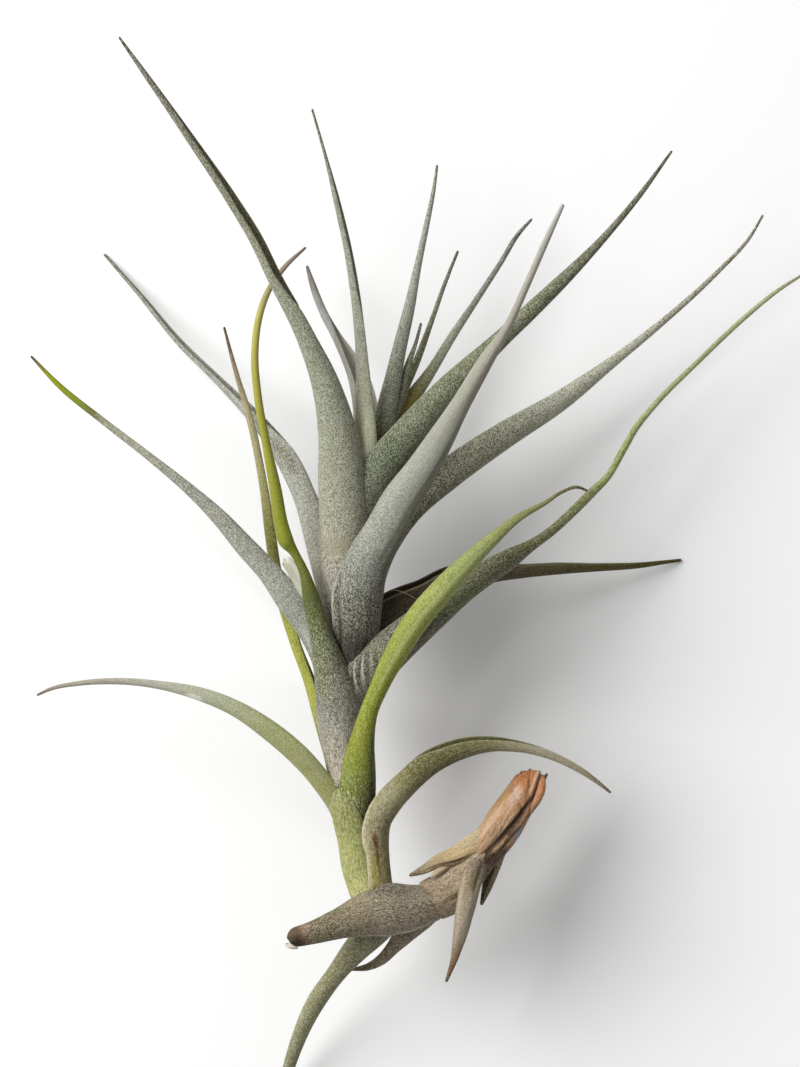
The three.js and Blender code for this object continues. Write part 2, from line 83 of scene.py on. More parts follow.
STEM_ROUTE = [
    (33.1, -60.6, 0, 2.7), (26.3, -70.3, 0, 3.1), (18.8, -81.5, 0, 3.2), (10, -90.2, 0, 3.3),
    (1.3, -94, 0, 3.3), (-5, -92.7, 0, 3.2), (-8.7, -86.5, 0, 3.1), (-10.2, -76.5, 0, 3),
    (-11.2, -66.5, 0, 2.9), (-12.6, -54, 0, 2.8), (-13.7, -41.5, 0, 2.7), (-13.7, -29, 0, 2.5),
    (-12.8, -16.5, 0, 2.2), (-11.3, -4, 0, 1.8), (-9.2, 8, 0, 1.3), (-8, 14, 0, 0.9),
]

# What a leaf is where its entry says nothing else. Places along a leaf are counted in points of its route,
# from the base, and places across it go from -1 at its left margin to 1 at its right.
PLAIN_LEAF = {
    "open": (105, 95, 100, 115, 140),  # degrees from the back's middle to a margin, from base to tip
    "turn": (0, 0),  # degrees that the back's middle faces to the right of straight up, from base to tip
    "clasp": 1,  # the place up to which it clasps the stem
    "folds": [],  # (start, end, across at each, width, depth in millimetres: below 0 is a ridge)
    "waves": (0.07, 12, 4),  # how high and how long along it in millimetres, and how many go round it
    "tear": (0, 0, 0),  # how deep the base and the tip are torn, and the base's slant, in millimetres
    "end_roundness": 1,
    "rings": 12,  # in each span of the route
    "arc_steps": 18,
    "skin": {},  # where it differs from the skin of its slot
    "bald": None,  # the places between which its scales fade
    # The channel side's colour, painted light and shade: darker than the back for shade, paler to lift
    # shade.
    "channel_colour": None,
    "marks": [],  # stains, painted shade and painted highlights under the scales: (place, across, half length, half width, colour, strength)
    "scars": [],  # the same above the scales: scars, painted highlights and painted shade
    "scrap": False,  # whether it is a torn shred that stands for no node
}
OPEN_FLAT = (95, 75, 75, 90, 120)
OPEN_TUBE = (155, 155)
FIBRE_SKIN = {"streaks": 0.05, "patches": 0.05, "scales": 0.05, "channel": 0.95}

LEAVES = {}


def add_leaf(name, slot, **entry):
    """Takes a leaf, sheath or scrap into the plant. Its route's points are (x, y, z, half width), as in the
    part. Its colours are (place, red, green, blue) along its back, as a picture has them."""
    LEAVES[name] = {**PLAIN_LEAF, "slot": slot, **entry}


add_leaf(
    "dry_sheath_end", "papery_sheath", open=OPEN_TUBE, turn=(10, 10), clasp=5, end_roundness=0.05,
    arc_steps=90, waves=(0.42, 9, 9), tear=(2.2, 0, 1.2),
    skin={"streaks": 0.35, "bump": 0.9, "patches": 0.2, "scales": 0.12, "wrinkles": 0.2},
    route=[
        (33.6, -59, 0, 3.5), (30.9, -64.5, 0, 4.1), (27, -71, 0, 4.7), (23, -77, 0, 4.7),
        (19.3, -82, 0, 3.9),
    ],
    folds=[
        (-0.3, 1.3, 0.12, -0.26, 0.025, 0.4), (-0.3, 1.45, -0.3, -0.48, 0.06, 1.6),
        (0.8, 3.9, -0.34, -0.06, 0.06, 1.1), (1.4, 3.6, -0.5, -0.24, 0.035, 0.6),
        (0.98, 1.68, 0.4, -0.4, 0.08, 0.4), (-0.3, 1.2, -0.16, -0.22, 0.05, -0.5),
        (1.4, 3.2, 0.04, 0, 0.025, 0.22), (1.5, 3.4, -0.08, -0.06, 0.025, 0.25),
        (0.7, 2.6, 0.2, 0.14, 0.025, 0.16), (1, 3.6, 0.32, 0.26, 0.03, 0.14),
        (1.6, 3.3, 0.11, 0.08, 0.02, 0.16),
    ],
    marks=[
        (2.3, -0.48, 0.3, 0.1, (160, 158, 178), 0.9), (2.6, -0.62, 0.35, 0.1, (176, 168, 162), 0.7),
        (0.3, 0.25, 0.5, 0.28, (176, 108, 44), 0.65), (1.15, 0.06, 0.35, 0.16, (214, 178, 152), 0.5),
        (1.3, 0.34, 0.8, 0.14, (186, 144, 82), 0.6), (0.3, -0.56, 0.6, 0.07, (206, 112, 54), 0.8),
        (3.6, -0.2, 0.45, 0.2, (52, 28, 16), 0.95), (3.4, -0.42, 0.8, 0.2, (60, 36, 20), 0.9),
        (1.9, -0.27, 1, 0.07, (84, 46, 26), 0.8),
    ],
    # The first two scars are painted highlights, pale pink on the sheath.
    scars=[
        (1.25, 0.08, 0.5, 0.14, (218, 192, 178), 0.4), (2.4, 0.22, 0.9, 0.1, (214, 190, 166), 0.35),
        (1.9, 0.42, 0.9, 0.08, (156, 118, 68), 0.5),
    ],
    colours=[
        (0, 186, 116, 60), (0.5, 202, 132, 81), (1, 202, 144, 99), (2, 208, 166, 126), (3, 196, 156, 118),
        (4, 176, 140, 98),
    ],
)
add_leaf(
    "spine_left", "papery_sheath", open=OPEN_FLAT, turn=(10, 30, 40), waves=(0.22, 5, 5),
    skin={"scales": 0.4, "scale": (206, 190, 160)},
    route=[
        (25, -74, -1, 3.4), (18.9, -77.6, 0.8, 3), (13.8, -80.4, 2.3, 2.3), (8.8, -82.3, 3.2, 1.6),
        (5.5, -84.1, 3.5, 1.05), (2.3, -85.4, 3.4, 0.35),
    ],
    folds=[(0.7, 4.1, -0.8, -0.5, 0.08, 0.6)],
    marks=[(2.5, -0.75, 1.2, 0.25, (96, 56, 26), 0.85), (1.2, 0.2, 0.9, 0.4, (176, 172, 150), 0.4)],
    colours=[
        (0, 235, 200, 148), (1, 228, 198, 146), (2.4, 209, 182, 133), (3.4, 170, 155, 119),
        (4.5, 120, 107, 84), (5, 64, 56, 48),
    ],
)
add_leaf(
    "spine_front", "dead_leaf", open=(105, 100, 100, 105, 110, 120, 140), turn=(0, 5, 10, 5, 0, 0, 0),
    arc_steps=36, waves=(0.15, 6, 5), skin={"scales": 0.34, "streaks": 0.25},
    route=[
        (20, -79.5, -0.9, 3.1), (18.4, -84.5, 3.2, 2.9), (17.1, -89.8, 5.8, 2.6), (16.1, -94.8, 7.2, 2.3),
        (15, -100.3, 7, 1.8), (13.7, -105.8, 6, 1), (11.5, -112, 4, 0.35),
    ],
    folds=[(0.4, 2.2, -0.35, -0.42, 0.12, 0.5), (0.2, 1.8, 0.28, 0.2, 0.08, 0.25)],
    marks=[(2.2, 0.4, 1.3, 0.16, (198, 188, 162), 0.5), (1.5, -0.2, 0.5, 0.3, (112, 92, 60), 0.5)],
    colours=[
        (0, 148, 129, 111), (1, 132, 114, 94), (2, 154, 138, 113), (4, 168, 158, 140), (4.7, 136, 112, 86),
        (5.4, 108, 76, 50), (6, 54, 36, 26),
    ],
)
add_leaf(
    "leaf_cut_stump", "dead_leaf", clasp=3, end_roundness=1, arc_steps=48, waves=(0.22, 10, 7),
    tear=(0, 0.4, 0), bald=(5.15, 5.6),
    skin={"scales": 0.4, "streaks": 0.25, "stretch": 0.45, "scale": (208, 202, 186)},
    route=[
        (9, -92.1, 0.2, 4.4), (2, -93.5, 1.3, 6.1), (-3.8, -93.9, 2.5, 6.6), (-9.5, -95.3, 4, 5.2),
        (-15, -97.3, 5, 3.9), (-21.3, -99.5, 5.5, 2.95), (-28.2, -101.3, 5.5, 2.3),
    ],
    folds=[
        (0.4, 2.6, -0.05, -0.02, 0.03, 0.16), (0.6, 2.9, -0.2, -0.16, 0.03, 0.18),
        (0.7, 2.4, -0.36, -0.3, 0.035, 0.2), (0.5, 1.8, 0.16, 0.2, 0.03, 0.14),
        (0.2, 1.9, -0.52, -0.78, 0.05, -0.35), (1.5, 3.9, -0.8, -0.84, 0.05, -0.35),
    ],
    # The first mark is painted shade along its right side.
    marks=[(1.8, 0.55, 1.1, 0.26, (90, 74, 64), 0.75), (5.3, 0.35, 0.22, 0.4, (150, 128, 112), 0.5)],
    colours=[
        (0, 150, 136, 112), (1.4, 150, 137, 112), (3, 130, 120, 90), (4.5, 98, 90, 60), (5.1, 98, 86, 60),
        (5.4, 92, 66, 48), (5.62, 48, 28, 20), (5.8, 24, 13, 9), (6, 20, 11, 8),
    ],
)
add_leaf(
    "leaf_arched_right", "grey_green_leaf", open=(95, 92, 114, 138, 132, 130, 120, 125, 140),
    # Its dark olive channel colour is painted shade.
    turn=(95, 92, 86, 76, 104, 108, 92, 84, 90), clasp=4, channel_colour=(98, 96, 48),
    skin={"scales": 0.34, "stretch": 0.45, "streaks": 0.2, "scale": (198, 194, 160)},
    route=[
        (-7.7, -88.5, 0, 5.9), (-8.2, -82, 0.5, 5.7), (-8.4, -76.5, 1.5, 5.7), (-6.6, -71, 3.2, 4.75),
        (-2.6, -66.5, 5.4, 3.6), (0.8, -63, 7.4, 3.3), (7.3, -57.3, 9, 3.15), (15.2, -53.7, 9, 2.7),
        (22.5, -52.5, 8, 2), (30, -53.2, 6.5, 1.45), (37.5, -55.3, 4.5, 1.05), (45, -59, 2, 0.8),
        (50, -62.5, 0, 0.5), (52.7, -64.7, -1, 0.3),
    ],
    # The mark is painted shade along its darker side.
    marks=[(1.8, -0.22, 2.8, 0.32, (72, 68, 38), 0.5)],
    scars=[
        (2.25, -0.64, 0.55, 0.1, (108, 64, 40), 0.85), (1.45, -0.69, 0.6, 0.055, (110, 76, 46), 0.75),
        (0.8, -0.8, 0.85, 0.085, (162, 152, 60), 0.5), (0.9, -0.67, 0.95, 0.045, (88, 80, 42), 0.5),
        (1.6, -0.97, 1.9, 0.09, (196, 188, 156), 0.5),
    ],
    colours=[
        (0, 166, 154, 88), (1, 190, 177, 110), (2.5, 187, 177, 130), (4.3, 156, 153, 116),
        (5.4, 104, 100, 54), (6.4, 87, 83, 41), (8, 124, 117, 73), (9.5, 193, 184, 156),
        (11, 180, 165, 141), (12.5, 112, 88, 70), (13, 60, 40, 32),
    ],
)
add_leaf(
    "sheath_green", "yellow_green_leaf", open=(115, 110, 102, 94, 82, 50),
    turn=(-45, -50, -58, -66, -78, -110), clasp=6, end_roundness=0.05, skin={"stretch": 0.5},
    route=[
        (-7.8, -90.2, 0.5, 4.6), (-9.7, -83, 0, 4.9), (-10.7, -76.5, 0.5, 4.9), (-12, -70.3, 1, 5),
        (-12.7, -66, 1.2, 4.9), (-12.3, -62.6, 1.5, 3.1),
    ],
    colours=[(0, 187, 185, 119), (1.5, 174, 174, 106), (3, 144, 146, 81), (5, 150, 150, 101)],
)
add_leaf(
    "leaf_arched_left", "grey_green_leaf", turn=(-60, -75, -72, -75, -80),
    skin={"scales": 0.3, "patch": (172, 172, 150)},
    route=[
        (-11.7, -74, -1.5, 4), (-14.5, -68.5, -1.5, 3.2), (-19.3, -62.1, 0.5, 2.7),
        (-25.5, -55.1, 2.3, 2.72), (-33, -48.8, 3, 2.55), (-41.3, -43.5, 3, 2.1), (-50, -40, 2, 1.7),
        (-60, -37.8, 0.5, 1.1), (-70, -36.8, -1, 0.85), (-80, -37.3, -2, 0.65), (-87.5, -38.8, -3, 0.45),
        (-90.8, -40.3, -3, 0.3),
    ],
    marks=[(6.1, 0.2, 0.3, 0.3, (222, 220, 206), 0.85)],
    colours=[
        (0, 140, 142, 78), (2, 152, 152, 88), (4, 150, 154, 98), (5.5, 164, 168, 136), (7, 170, 168, 154),
        (9, 162, 152, 140), (10.4, 132, 112, 104), (11, 74, 52, 46),
    ],
)
add_leaf(
    "dry_sheath_low", "papery_sheath", open=OPEN_TUBE, clasp=4, end_roundness=0.05, arc_steps=72,
    waves=(0.3, 8, 7), tear=(0, 1.2, 0), skin={"streaks": 0.2, "scales": 0.35},
    route=[(23.3, -76.6, 0, 3.5), (16.5, -84.8, 0, 4.9), (12.4, -89.2, 0, 5.7), (7.3, -92, 0.2, 5.4)],
    folds=[
        (0.6, 2.6, 0.18, 0.24, 0.03, 0.3), (0.9, 2.9, 0.05, 0.02, 0.025, 0.2),
        (0.8, 2.8, -0.14, -0.12, 0.03, 0.25), (-0.3, 1.9, -0.2, -0.44, 0.1, 1.4),
    ],
    # The first two marks are painted shade in the hollow beneath spine_left.
    marks=[
        (0.7, -0.36, 0.8, 0.22, (50, 28, 16), 0.95), (0.6, -0.45, 1, 0.4, (46, 26, 14), 1),
        (1.9, -0.13, 0.7, 0.06, (104, 72, 46), 0.7), (1.1, 0.42, 0.5, 0.12, (204, 186, 160), 0.5),
        (2.2, -0.5, 0.7, 0.1, (104, 78, 52), 0.6),
    ],
    colours=[(0, 176, 154, 122), (1, 182, 164, 134), (2, 174, 154, 126), (3, 150, 130, 104)],
)
add_leaf(
    "leaf_green_front", "yellow_green_leaf", turn=(5, 5, 20, 35, 40), clasp=2, bald=(0.8, 1.3),
    skin={"scales": 0.45, "residue": 0.32, "stretch": 0.5, "scale": (198, 203, 158)},
    route=[
        (-11, -71.8, -0.3, 4.5), (-10.8, -64, 2.5, 4.8), (-10.3, -57.8, 5, 4.2), (-9.5, -52, 7.5, 3.2),
        (-7.8, -44.5, 10, 2.3), (-5, -37.8, 12.5, 2.35), (-1.2, -30.2, 15, 2.9), (3, -23.2, 17, 3.15),
        (12.3, -12, 19, 2.9), (21.5, -2.8, 17, 1.9), (30, 4.3, 14, 1), (36.3, 7.8, 11, 0.6),
        (40.5, 10.5, 8.5, 0.45), (44.3, 11.7, 6.5, 0.4), (46.9, 10.8, 5, 0.3),
    ],
    # The first mark is a pale stripe along its midline, partly a painted highlight on its ridge; the other
    # two are painted shade along its right side and at its base.
    marks=[
        (7, -0.12, 3.2, 0.16, (190, 198, 140), 0.38), (2, 0.64, 2.2, 0.34, (48, 54, 10), 0.8),
        (0.2, 0.5, 0.9, 0.5, (62, 62, 36), 0.6),
    ],
    scars=[
        (1.13, -0.31, 0.08, 0.05, (200, 204, 140), 0.55), (0.95, -0.12, 0.07, 0.06, (184, 190, 130), 0.5),
    ],
    colours=[
        (0, 109, 110, 52), (0.85, 108, 109, 43), (1.15, 106, 116, 20), (2, 125, 134, 15),
        (3.5, 131, 138, 17), (5, 135, 143, 26), (7, 146, 154, 58), (8.5, 148, 158, 90), (10, 146, 150, 90),
        (11.4, 136, 128, 92), (12.4, 114, 92, 62), (14, 76, 50, 36),
    ],
)
add_leaf(
    "leaf_curled_green", "yellow_green_leaf", turn=(-20, -25, -40, -40, -30), clasp=3, arc_steps=36,
    bald=(4.6, 6.4), skin={"scales": 0.48, "residue": 0.1, "stretch": 0.5, "scale": (206, 203, 186)},
    route=[
        (-13.4, -62.7, 1, 4), (-14.5, -55.3, 1.5, 4.6), (-15, -47.8, 2, 5.6), (-15.4, -41.5, 3, 5.7),
        (-17.6, -32.8, 5, 4.15), (-20.1, -24, 6.5, 2.75), (-22.2, -16, 8, 2.15), (-24.2, -9, 8.6, 1.2),
        (-26.6, -4.4, 8.8, 1.2), (-28.6, -1.5, 9, 1.95), (-29.6, 2, 9.5, 1.8), (-31.1, 11, 10.5, 1.55),
        (-33.4, 22.3, 11.5, 1.1), (-35.5, 34.3, 12, 1), (-36.3, 44.7, 12, 0.95), (-35.2, 54.3, 10, 0.9),
        (-32.8, 61, 7.5, 0.8), (-28.6, 67, 5, 0.62), (-23.5, 71.7, 3, 0.3),
    ],
    folds=[
        (1.9, 3.4, 0.12, 0.26, 0.03, 0.2), (1, 2.8, -0.02, 0.03, 0.03, 0.12),
        (1.4, 3.2, -0.24, -0.14, 0.03, 0.12),
    ],
    scars=[(9.7, -0.42, 0.8, 0.06, (206, 186, 160), 0.7), (8.5, 0.2, 0.35, 0.4, (70, 88, 8), 0.4)],
    # Its dark colour at place 0 is a painted shadow where it meets leaf_arched_left and sheath_green.
    colours=[
        (0, 122, 107, 94), (0.4, 192, 177, 161), (1, 181, 170, 156), (2, 157, 153, 141), (3, 108, 106, 93),
        (4, 90, 92, 70), (5, 76, 79, 47), (6, 79, 86, 26), (7.5, 98, 108, 14), (9, 132, 139, 24),
        (11, 138, 140, 33), (13, 160, 154, 55), (15, 172, 166, 84), (16, 156, 148, 99),
        (17.3, 150, 134, 123), (18, 113, 97, 96),
    ],
)
add_leaf(
    "leaf_green_tip_left", "grey_green_leaf", turn=(-35, -45, -55, -80, -100), clasp=2, bald=(9.8, 10.3),
    skin={"scales": 0.6, "residue": 0.03},
    route=[
        (-14.4, -50.3, 0, 4.2), (-16.5, -41.5, 0.5, 4), (-18.5, -31.5, 1.5, 3.6), (-23.3, -22, 3, 3.6),
        (-28, -15.8, 3.5, 3.5), (-32.8, -9.5, 3.5, 2.9), (-38.8, -3, 3, 2.6), (-45, 4, 2.5, 2.05),
        (-52.5, 11, 1.5, 1.45), (-62.5, 19.2, 0, 1.02), (-75.1, 28.9, -2, 0.85), (-85.1, 37, -3.5, 0.7),
        (-92.3, 44.5, -4, 0.3),
    ],
    marks=[(2.3, -0.5, 0.5, 0.12, (216, 208, 186), 0.6)],
    # The scar is a painted highlight, a soft pale streak.
    scars=[(2.4, 0.1, 0.9, 0.25, (206, 208, 204), 0.3)],
    colours=[
        (0, 128, 126, 121), (2, 124, 125, 119), (4, 146, 149, 140), (6, 141, 144, 136), (8, 136, 137, 127),
        (9.4, 152, 151, 136), (9.9, 142, 139, 110), (10.15, 100, 99, 46), (10.5, 120, 133, 10),
        (11.4, 140, 148, 10), (11.85, 96, 68, 34), (12, 46, 28, 22),
    ],
)
add_leaf(
    "leaf_thin_left", "olive_brown_leaf", open=(105, 108, 112, 118, 140), turn=(-110, -100, -82, -82, -90),
    clasp=2, skin={"scales": 0.45, "patches": 0.15},
    route=[
        (-13.3, -60.3, 0, 4.2), (-16.1, -54, -2, 3.3), (-20, -44.5, -5, 2), (-23.1, -35.3, -8, 1.45),
        (-26, -27.8, -9, 1.35), (-28.4, -19.5, -10.2, 1.6), (-31, -9.5, -11, 1.5), (-32.2, -1.5, -11, 1.4),
        (-34.5, 14.3, -11, 1.05), (-37.8, 29.8, -10, 0.88), (-40.8, 39.8, -9, 0.62), (-44, 51.8, -8, 0.3),
    ],
    colours=[
        (0, 148, 154, 45), (3, 162, 167, 46), (4.4, 156, 160, 45), (5.5, 118, 119, 38), (7, 128, 127, 43),
        (8, 158, 156, 100), (9, 178, 170, 134), (10.4, 132, 104, 92), (10.8, 60, 36, 34), (11, 40, 26, 26),
    ],
)
add_leaf(
    "leaf_long_green_right", "yellow_green_leaf", turn=(20, 40, 45, 45, 45), clasp=2, arc_steps=44,
    rings=24,
    skin={"scales": 0.4, "wrinkles": 0.35, "bump": 0.6, "stretch": 0.6, "scale": (208, 209, 194)},
    route=[
        (-12.5, -42.8, 0, 4.8), (-10.8, -37.8, 1.5, 5.6), (-3.8, -30.3, 5, 5.2), (7.1, -20.9, 8, 4.2),
        (16.8, -13, 7, 3.35), (21.3, -9.9, 6, 3.1), (28, -5.8, 4.6, 2.45), (31.9, -3.4, 3.8, 1.6),
        (38.3, 1.1, 3, 1.2), (43.6, 6, 2.5, 1.2), (48.6, 11, 1.6, 1.12), (51.2, 13.5, 1.2, 0.95),
        (55.8, 21, 0.5, 0.9), (58.6, 26, 0, 0.86), (63.5, 32.1, -1, 0.75), (75, 43.6, -3.5, 0.66),
        (87.5, 55.3, -6, 0.62), (93.8, 60.4, -7, 0.52), (101.5, 65.4, -8, 0.3),
    ],
    folds=[
        (0.85, 1.32, -0.3, -0.85, 0.055, 0.7), (1, 1.48, -0.14, -0.75, 0.055, 0.8),
        (1.15, 1.75, -0.02, -0.8, 0.055, 0.8), (1.45, 1.95, 0.03, -0.8, 0.055, 0.7),
        (1.8, 2.1, 0, -0.7, 0.06, 0.5), (1.07, 1.6, -0.08, -0.78, 0.045, -0.45),
        (1.3, 1.85, 0, -0.8, 0.045, -0.45), (1.62, 2.02, 0.02, -0.75, 0.045, -0.35),
        (0.93, 1.4, -0.22, -0.8, 0.045, -0.35),
    ],
    colours=[
        (0, 88, 86, 85), (1.6, 84, 81, 79), (2.4, 78, 76, 62), (4, 86, 85, 51), (6, 88, 86, 49),
        (8, 108, 107, 64), (9.5, 130, 134, 70), (11, 146, 152, 82), (13, 154, 161, 94),
        (15, 168, 172, 120), (17, 176, 175, 134), (18, 164, 148, 108),
    ],
)
add_leaf(
    "leaf_front_right", "grey_green_leaf", open=(75, 92, 100, 115, 140), turn=(5, 15, 30, 40, 40), clasp=3,
    arc_steps=36, waves=(0.12, 14, 5), bald=(4, 7.5),
    skin={"scales": 0.55, "residue": 0.16, "wrinkles": 0.6, "patches": 0.1, "bump": 0.45},
    route=[
        (-12, -31.5, 1.2, 4.8), (-11, -22.8, 3.9, 6), (-10.6, -14, 6.4, 6.6), (-8, -6.5, 8.2, 5.6),
        (-4.5, -0.2, 10.7, 5.1), (0.3, 8.6, 15, 4.8), (5, 15.5, 20, 4.15), (10, 23.5, 25, 3.4),
        (15.5, 33, 30, 2.4), (21.5, 43.3, 36, 1.95), (26.3, 50.8, 41, 1.15), (31.8, 62.5, 48, 0.9),
        (36.5, 73.3, 54, 0.85), (40.8, 82.5, 59, 0.5),
    ],
    folds=[
        (-0.3, 2.75, -0.56, -0.74, 0.09, 0.55), (-0.3, 1.5, -0.62, -0.6, 0.12, 0.25),
        (0.2, 3.1, -0.98, -0.76, 0.07, -0.35), (2.6, 9.4, 0.24, 0.12, 0.035, 0.3),
        (-0.3, 2, 0.1, 0.02, 0.05, 0.2), (-0.3, 2.2, 0.35, 0.3, 0.05, 0.25),
        (-0.3, 1.6, -0.15, -0.18, 0.04, 0.2),
    ],
    # The second mark is painted shade on its rolled right side, partly its own brownish colour.
    marks=[
        (0.5, 0, 1.1, 1, (54, 46, 42), 0.7), (1.6, 0.6, 1.6, 0.4, (70, 58, 48), 0.7),
        (8.8, 0.1, 1, 0.35, (150, 132, 112), 0.4),
    ],
    # The first two scars are painted shade on its rolled right side, partly its own brownish colour.
    scars=[
        (6.2, 0.42, 2.9, 0.32, (113, 107, 88), 0.75), (3.6, 0.6, 1.6, 0.26, (98, 88, 70), 0.6),
        (-0.1, -0.1, 1.4, 1.3, (50, 43, 37), 0.8),
    ],
    colours=[
        (0, 34, 30, 26), (0.9, 51, 48, 45), (1.7, 66, 65, 62), (2.4, 108, 110, 105), (3.5, 136, 139, 131),
        (5, 150, 154, 143), (8, 156, 156, 142), (10, 160, 156, 142), (12, 172, 169, 160),
        (13, 182, 179, 174),
    ],
)
add_leaf(
    "leaf_back_right", "olive_brown_leaf", open=(110, 128, 128, 125, 140), turn=(95, 100, 100, 95, 90),
    waves=(0.14, 12, 6), channel_colour=(88, 66, 42),
    skin={"scales": 0.2, "streaks": 0.6, "channel": 0.95},
    route=[
        (-12.5, -27.8, 0, 4.4), (-8, -23.5, -1.5, 5.2), (-1.3, -19.3, -3.5, 5.2), (6.3, -15.9, -6, 4.9),
        (13.8, -11.7, -8.5, 4.1), (22.5, -9.9, -12, 2.5), (30, -9.3, -15, 1.85), (40, -8.6, -19, 1.5),
        (50, -8.3, -24, 1.05), (60, -7.8, -29, 0.75), (66.5, -7, -32, 0.5), (70.3, -6.5, -34, 0.35),
    ],
    colours=[
        (0, 40, 27, 17), (3, 38, 26, 16), (4.4, 47, 36, 20), (5.5, 58, 48, 25), (7, 78, 74, 35),
        (9, 78, 73, 13), (10.4, 82, 63, 12), (11, 84, 50, 18),
    ],
)
add_leaf(
    "leaf_tall_left", "grey_green_leaf", open=(105, 105, 106, 106, 106, 106, 108, 115, 140),
    # Its olive channel colour is painted shade.
    turn=(-20, -25, -30, -40, -62, -112, -118, -100, -94), clasp=3, channel_colour=(104, 96, 56),
    route=[
        (-13.8, -26.5, 0, 4.6), (-13.8, -16.5, 1, 5.6), (-14, -6.5, 2.5, 6), (-13.8, 3.5, 4, 6.4),
        (-14.3, 13.5, 6, 6.2), (-15.5, 24.8, 9, 5), (-18.5, 37.3, 13, 3.6), (-23.8, 49.8, 18, 2.4),
        (-31.3, 64, 24, 1.87), (-35.9, 73.5, 27.5, 1.77), (-42, 83.5, 31, 1.58), (-52.5, 99, 36, 1.15),
        (-62.5, 113.3, 40, 0.75), (-70.3, 124.3, 42, 0.3),
    ],
    # The marks paint a crease: a dark line of painted shade beside a pale line of painted highlight.
    marks=[(2.02, 0.1, 0.035, 0.3, (104, 86, 68), 0.45), (1.95, 0.1, 0.035, 0.3, (200, 184, 162), 0.35)],
    scars=[(2.42, 0.06, 0.3, 0.55, (146, 138, 112), 0.5)],
    colours=[
        (0, 160, 150, 140), (1.6, 171, 160, 148), (2.3, 166, 160, 139), (3.2, 150, 149, 128),
        (4.5, 139, 141, 118), (6, 139, 142, 121), (8, 139, 141, 118), (10, 120, 118, 97), (12, 94, 86, 73),
        (12.7, 77, 62, 51), (13, 60, 44, 36),
    ],
)
add_leaf(
    "leaf_back_left", "grey_green_leaf", open=(105, 110, 112, 108, 108, 110, 130),
    turn=(-120, -98, -85, -88, -112, -115, -105), skin={"scales": 0.62},
    route=[
        (-13.8, -26.5, 0, 4.3), (-15.5, -16.5, -1.5, 4.6), (-18.3, -7.8, -3.5, 4), (-21, 1, -5.5, 3.4),
        (-23.5, 8.5, -8, 2.9), (-27.5, 17.3, -11, 2.8), (-35.3, 28, -16, 1.9), (-45, 38, -21, 1.15),
        (-55, 47.8, -26, 0.95), (-65, 59.8, -31, 0.65), (-74, 70, -34, 0.3),
    ],
    # The mark is a patch of painted shade.
    marks=[(5.1, 0.66, 0.7, 0.25, (92, 84, 72), 0.7)],
    colours=[
        (0, 158, 150, 138), (1.6, 160, 152, 142), (3, 156, 154, 143), (5, 154, 155, 144),
        (7, 150, 151, 145), (9, 134, 132, 126), (10, 92, 82, 74),
    ],
)
add_leaf(
    "leaf_low_right", "grey_green_leaf", turn=(110, 60, 50, 50, 50), skin={"scales": 0.85},
    route=[
        (-12, -21.5, 0, 4.4), (-9.5, -12.8, -0.5, 5.2), (-5.3, -3.8, -1.5, 4.4), (1.6, 6, -3, 4),
        (12.5, 15.3, -5.5, 3.85), (25, 24, -9, 3.4), (40, 33.3, -12, 2.55), (55, 44.5, -13, 1.3),
        (65, 52.5, -13, 0.9), (80, 66.1, -12, 0.57), (87.2, 73.8, -11.3, 0.42), (90.8, 79.8, -11, 0.3),
    ],
    # The mark is painted shade along its right side.
    marks=[(5, 0.74, 4.5, 0.28, (80, 84, 58), 0.65)],
    colours=[
        (0, 40, 29, 16), (1.8, 42, 32, 16), (2.6, 53, 43, 22), (3.6, 89, 82, 52), (4.4, 128, 127, 98),
        (5.3, 154, 153, 132), (6.2, 194, 194, 176), (7.5, 187, 185, 167), (9, 141, 134, 118),
        (10.4, 124, 100, 86), (11, 72, 48, 38),
    ],
)
add_leaf(
    "leaf_broad_right", "grey_green_leaf", turn=(60, 45, 40, 40, 40),
    skin={"scales": 0.6, "scale": (184, 194, 172)},
    route=[
        (-12.5, -16.5, 0, 4.2), (-11.5, -5.3, 1, 4.6), (-8.9, 6.9, 2.5, 5.1), (-4.7, 15.9, 5, 5),
        (2.5, 25, 8, 4.5), (14, 38, 11, 3.35), (25.1, 48.6, 13, 2.25), (32.7, 55.8, 14, 2.05),
        (40, 62.8, 15, 1.75), (50, 73, 15, 1.02), (60, 84.8, 14, 0.68), (68, 95.8, 12, 0.3),
    ],
    # The mark is painted shade along its right side.
    marks=[(5, 0.8, 5, 0.25, (60, 64, 40), 0.5)],
    colours=[
        (0, 58, 60, 36), (2.4, 65, 69, 43), (3.2, 75, 81, 54), (4.5, 89, 92, 62), (7, 94, 94, 66),
        (9, 86, 80, 58), (10.4, 80, 62, 45), (11, 51, 36, 26),
    ],
)
add_leaf(
    "leaf_inner_left", "grey_green_leaf", open=(105, 105, 106, 106, 108, 108, 110, 115, 130),
    turn=(-30, -40, -50, -60, -80, -102, -107, -107, -104),
    route=[
        (-11.5, -6.5, 1, 3.8), (-10.5, 4.8, 2.5, 4), (-9, 16, 4, 3.6), (-8.8, 26, 5.5, 2.9),
        (-9, 34.8, 6.5, 2.1), (-9.8, 47.3, 8, 1.45), (-11, 58.5, 9, 1.25), (-13, 71, 10, 1.05),
        (-15.8, 83.3, 11, 0.85), (-18.5, 94, 11, 0.45), (-22, 106.3, 11, 0.3),
    ],
    # Its colours at places 2 and 3 are painted light, far paler than the rest, to lift the shadow that
    # leaf_tall_left casts on it.
    colours=[
        (0, 144, 146, 110), (2, 235, 235, 200), (3, 234, 235, 198), (5, 164, 166, 150), (7, 146, 148, 134),
        (9, 124, 115, 105), (10, 76, 58, 54),
    ],
)
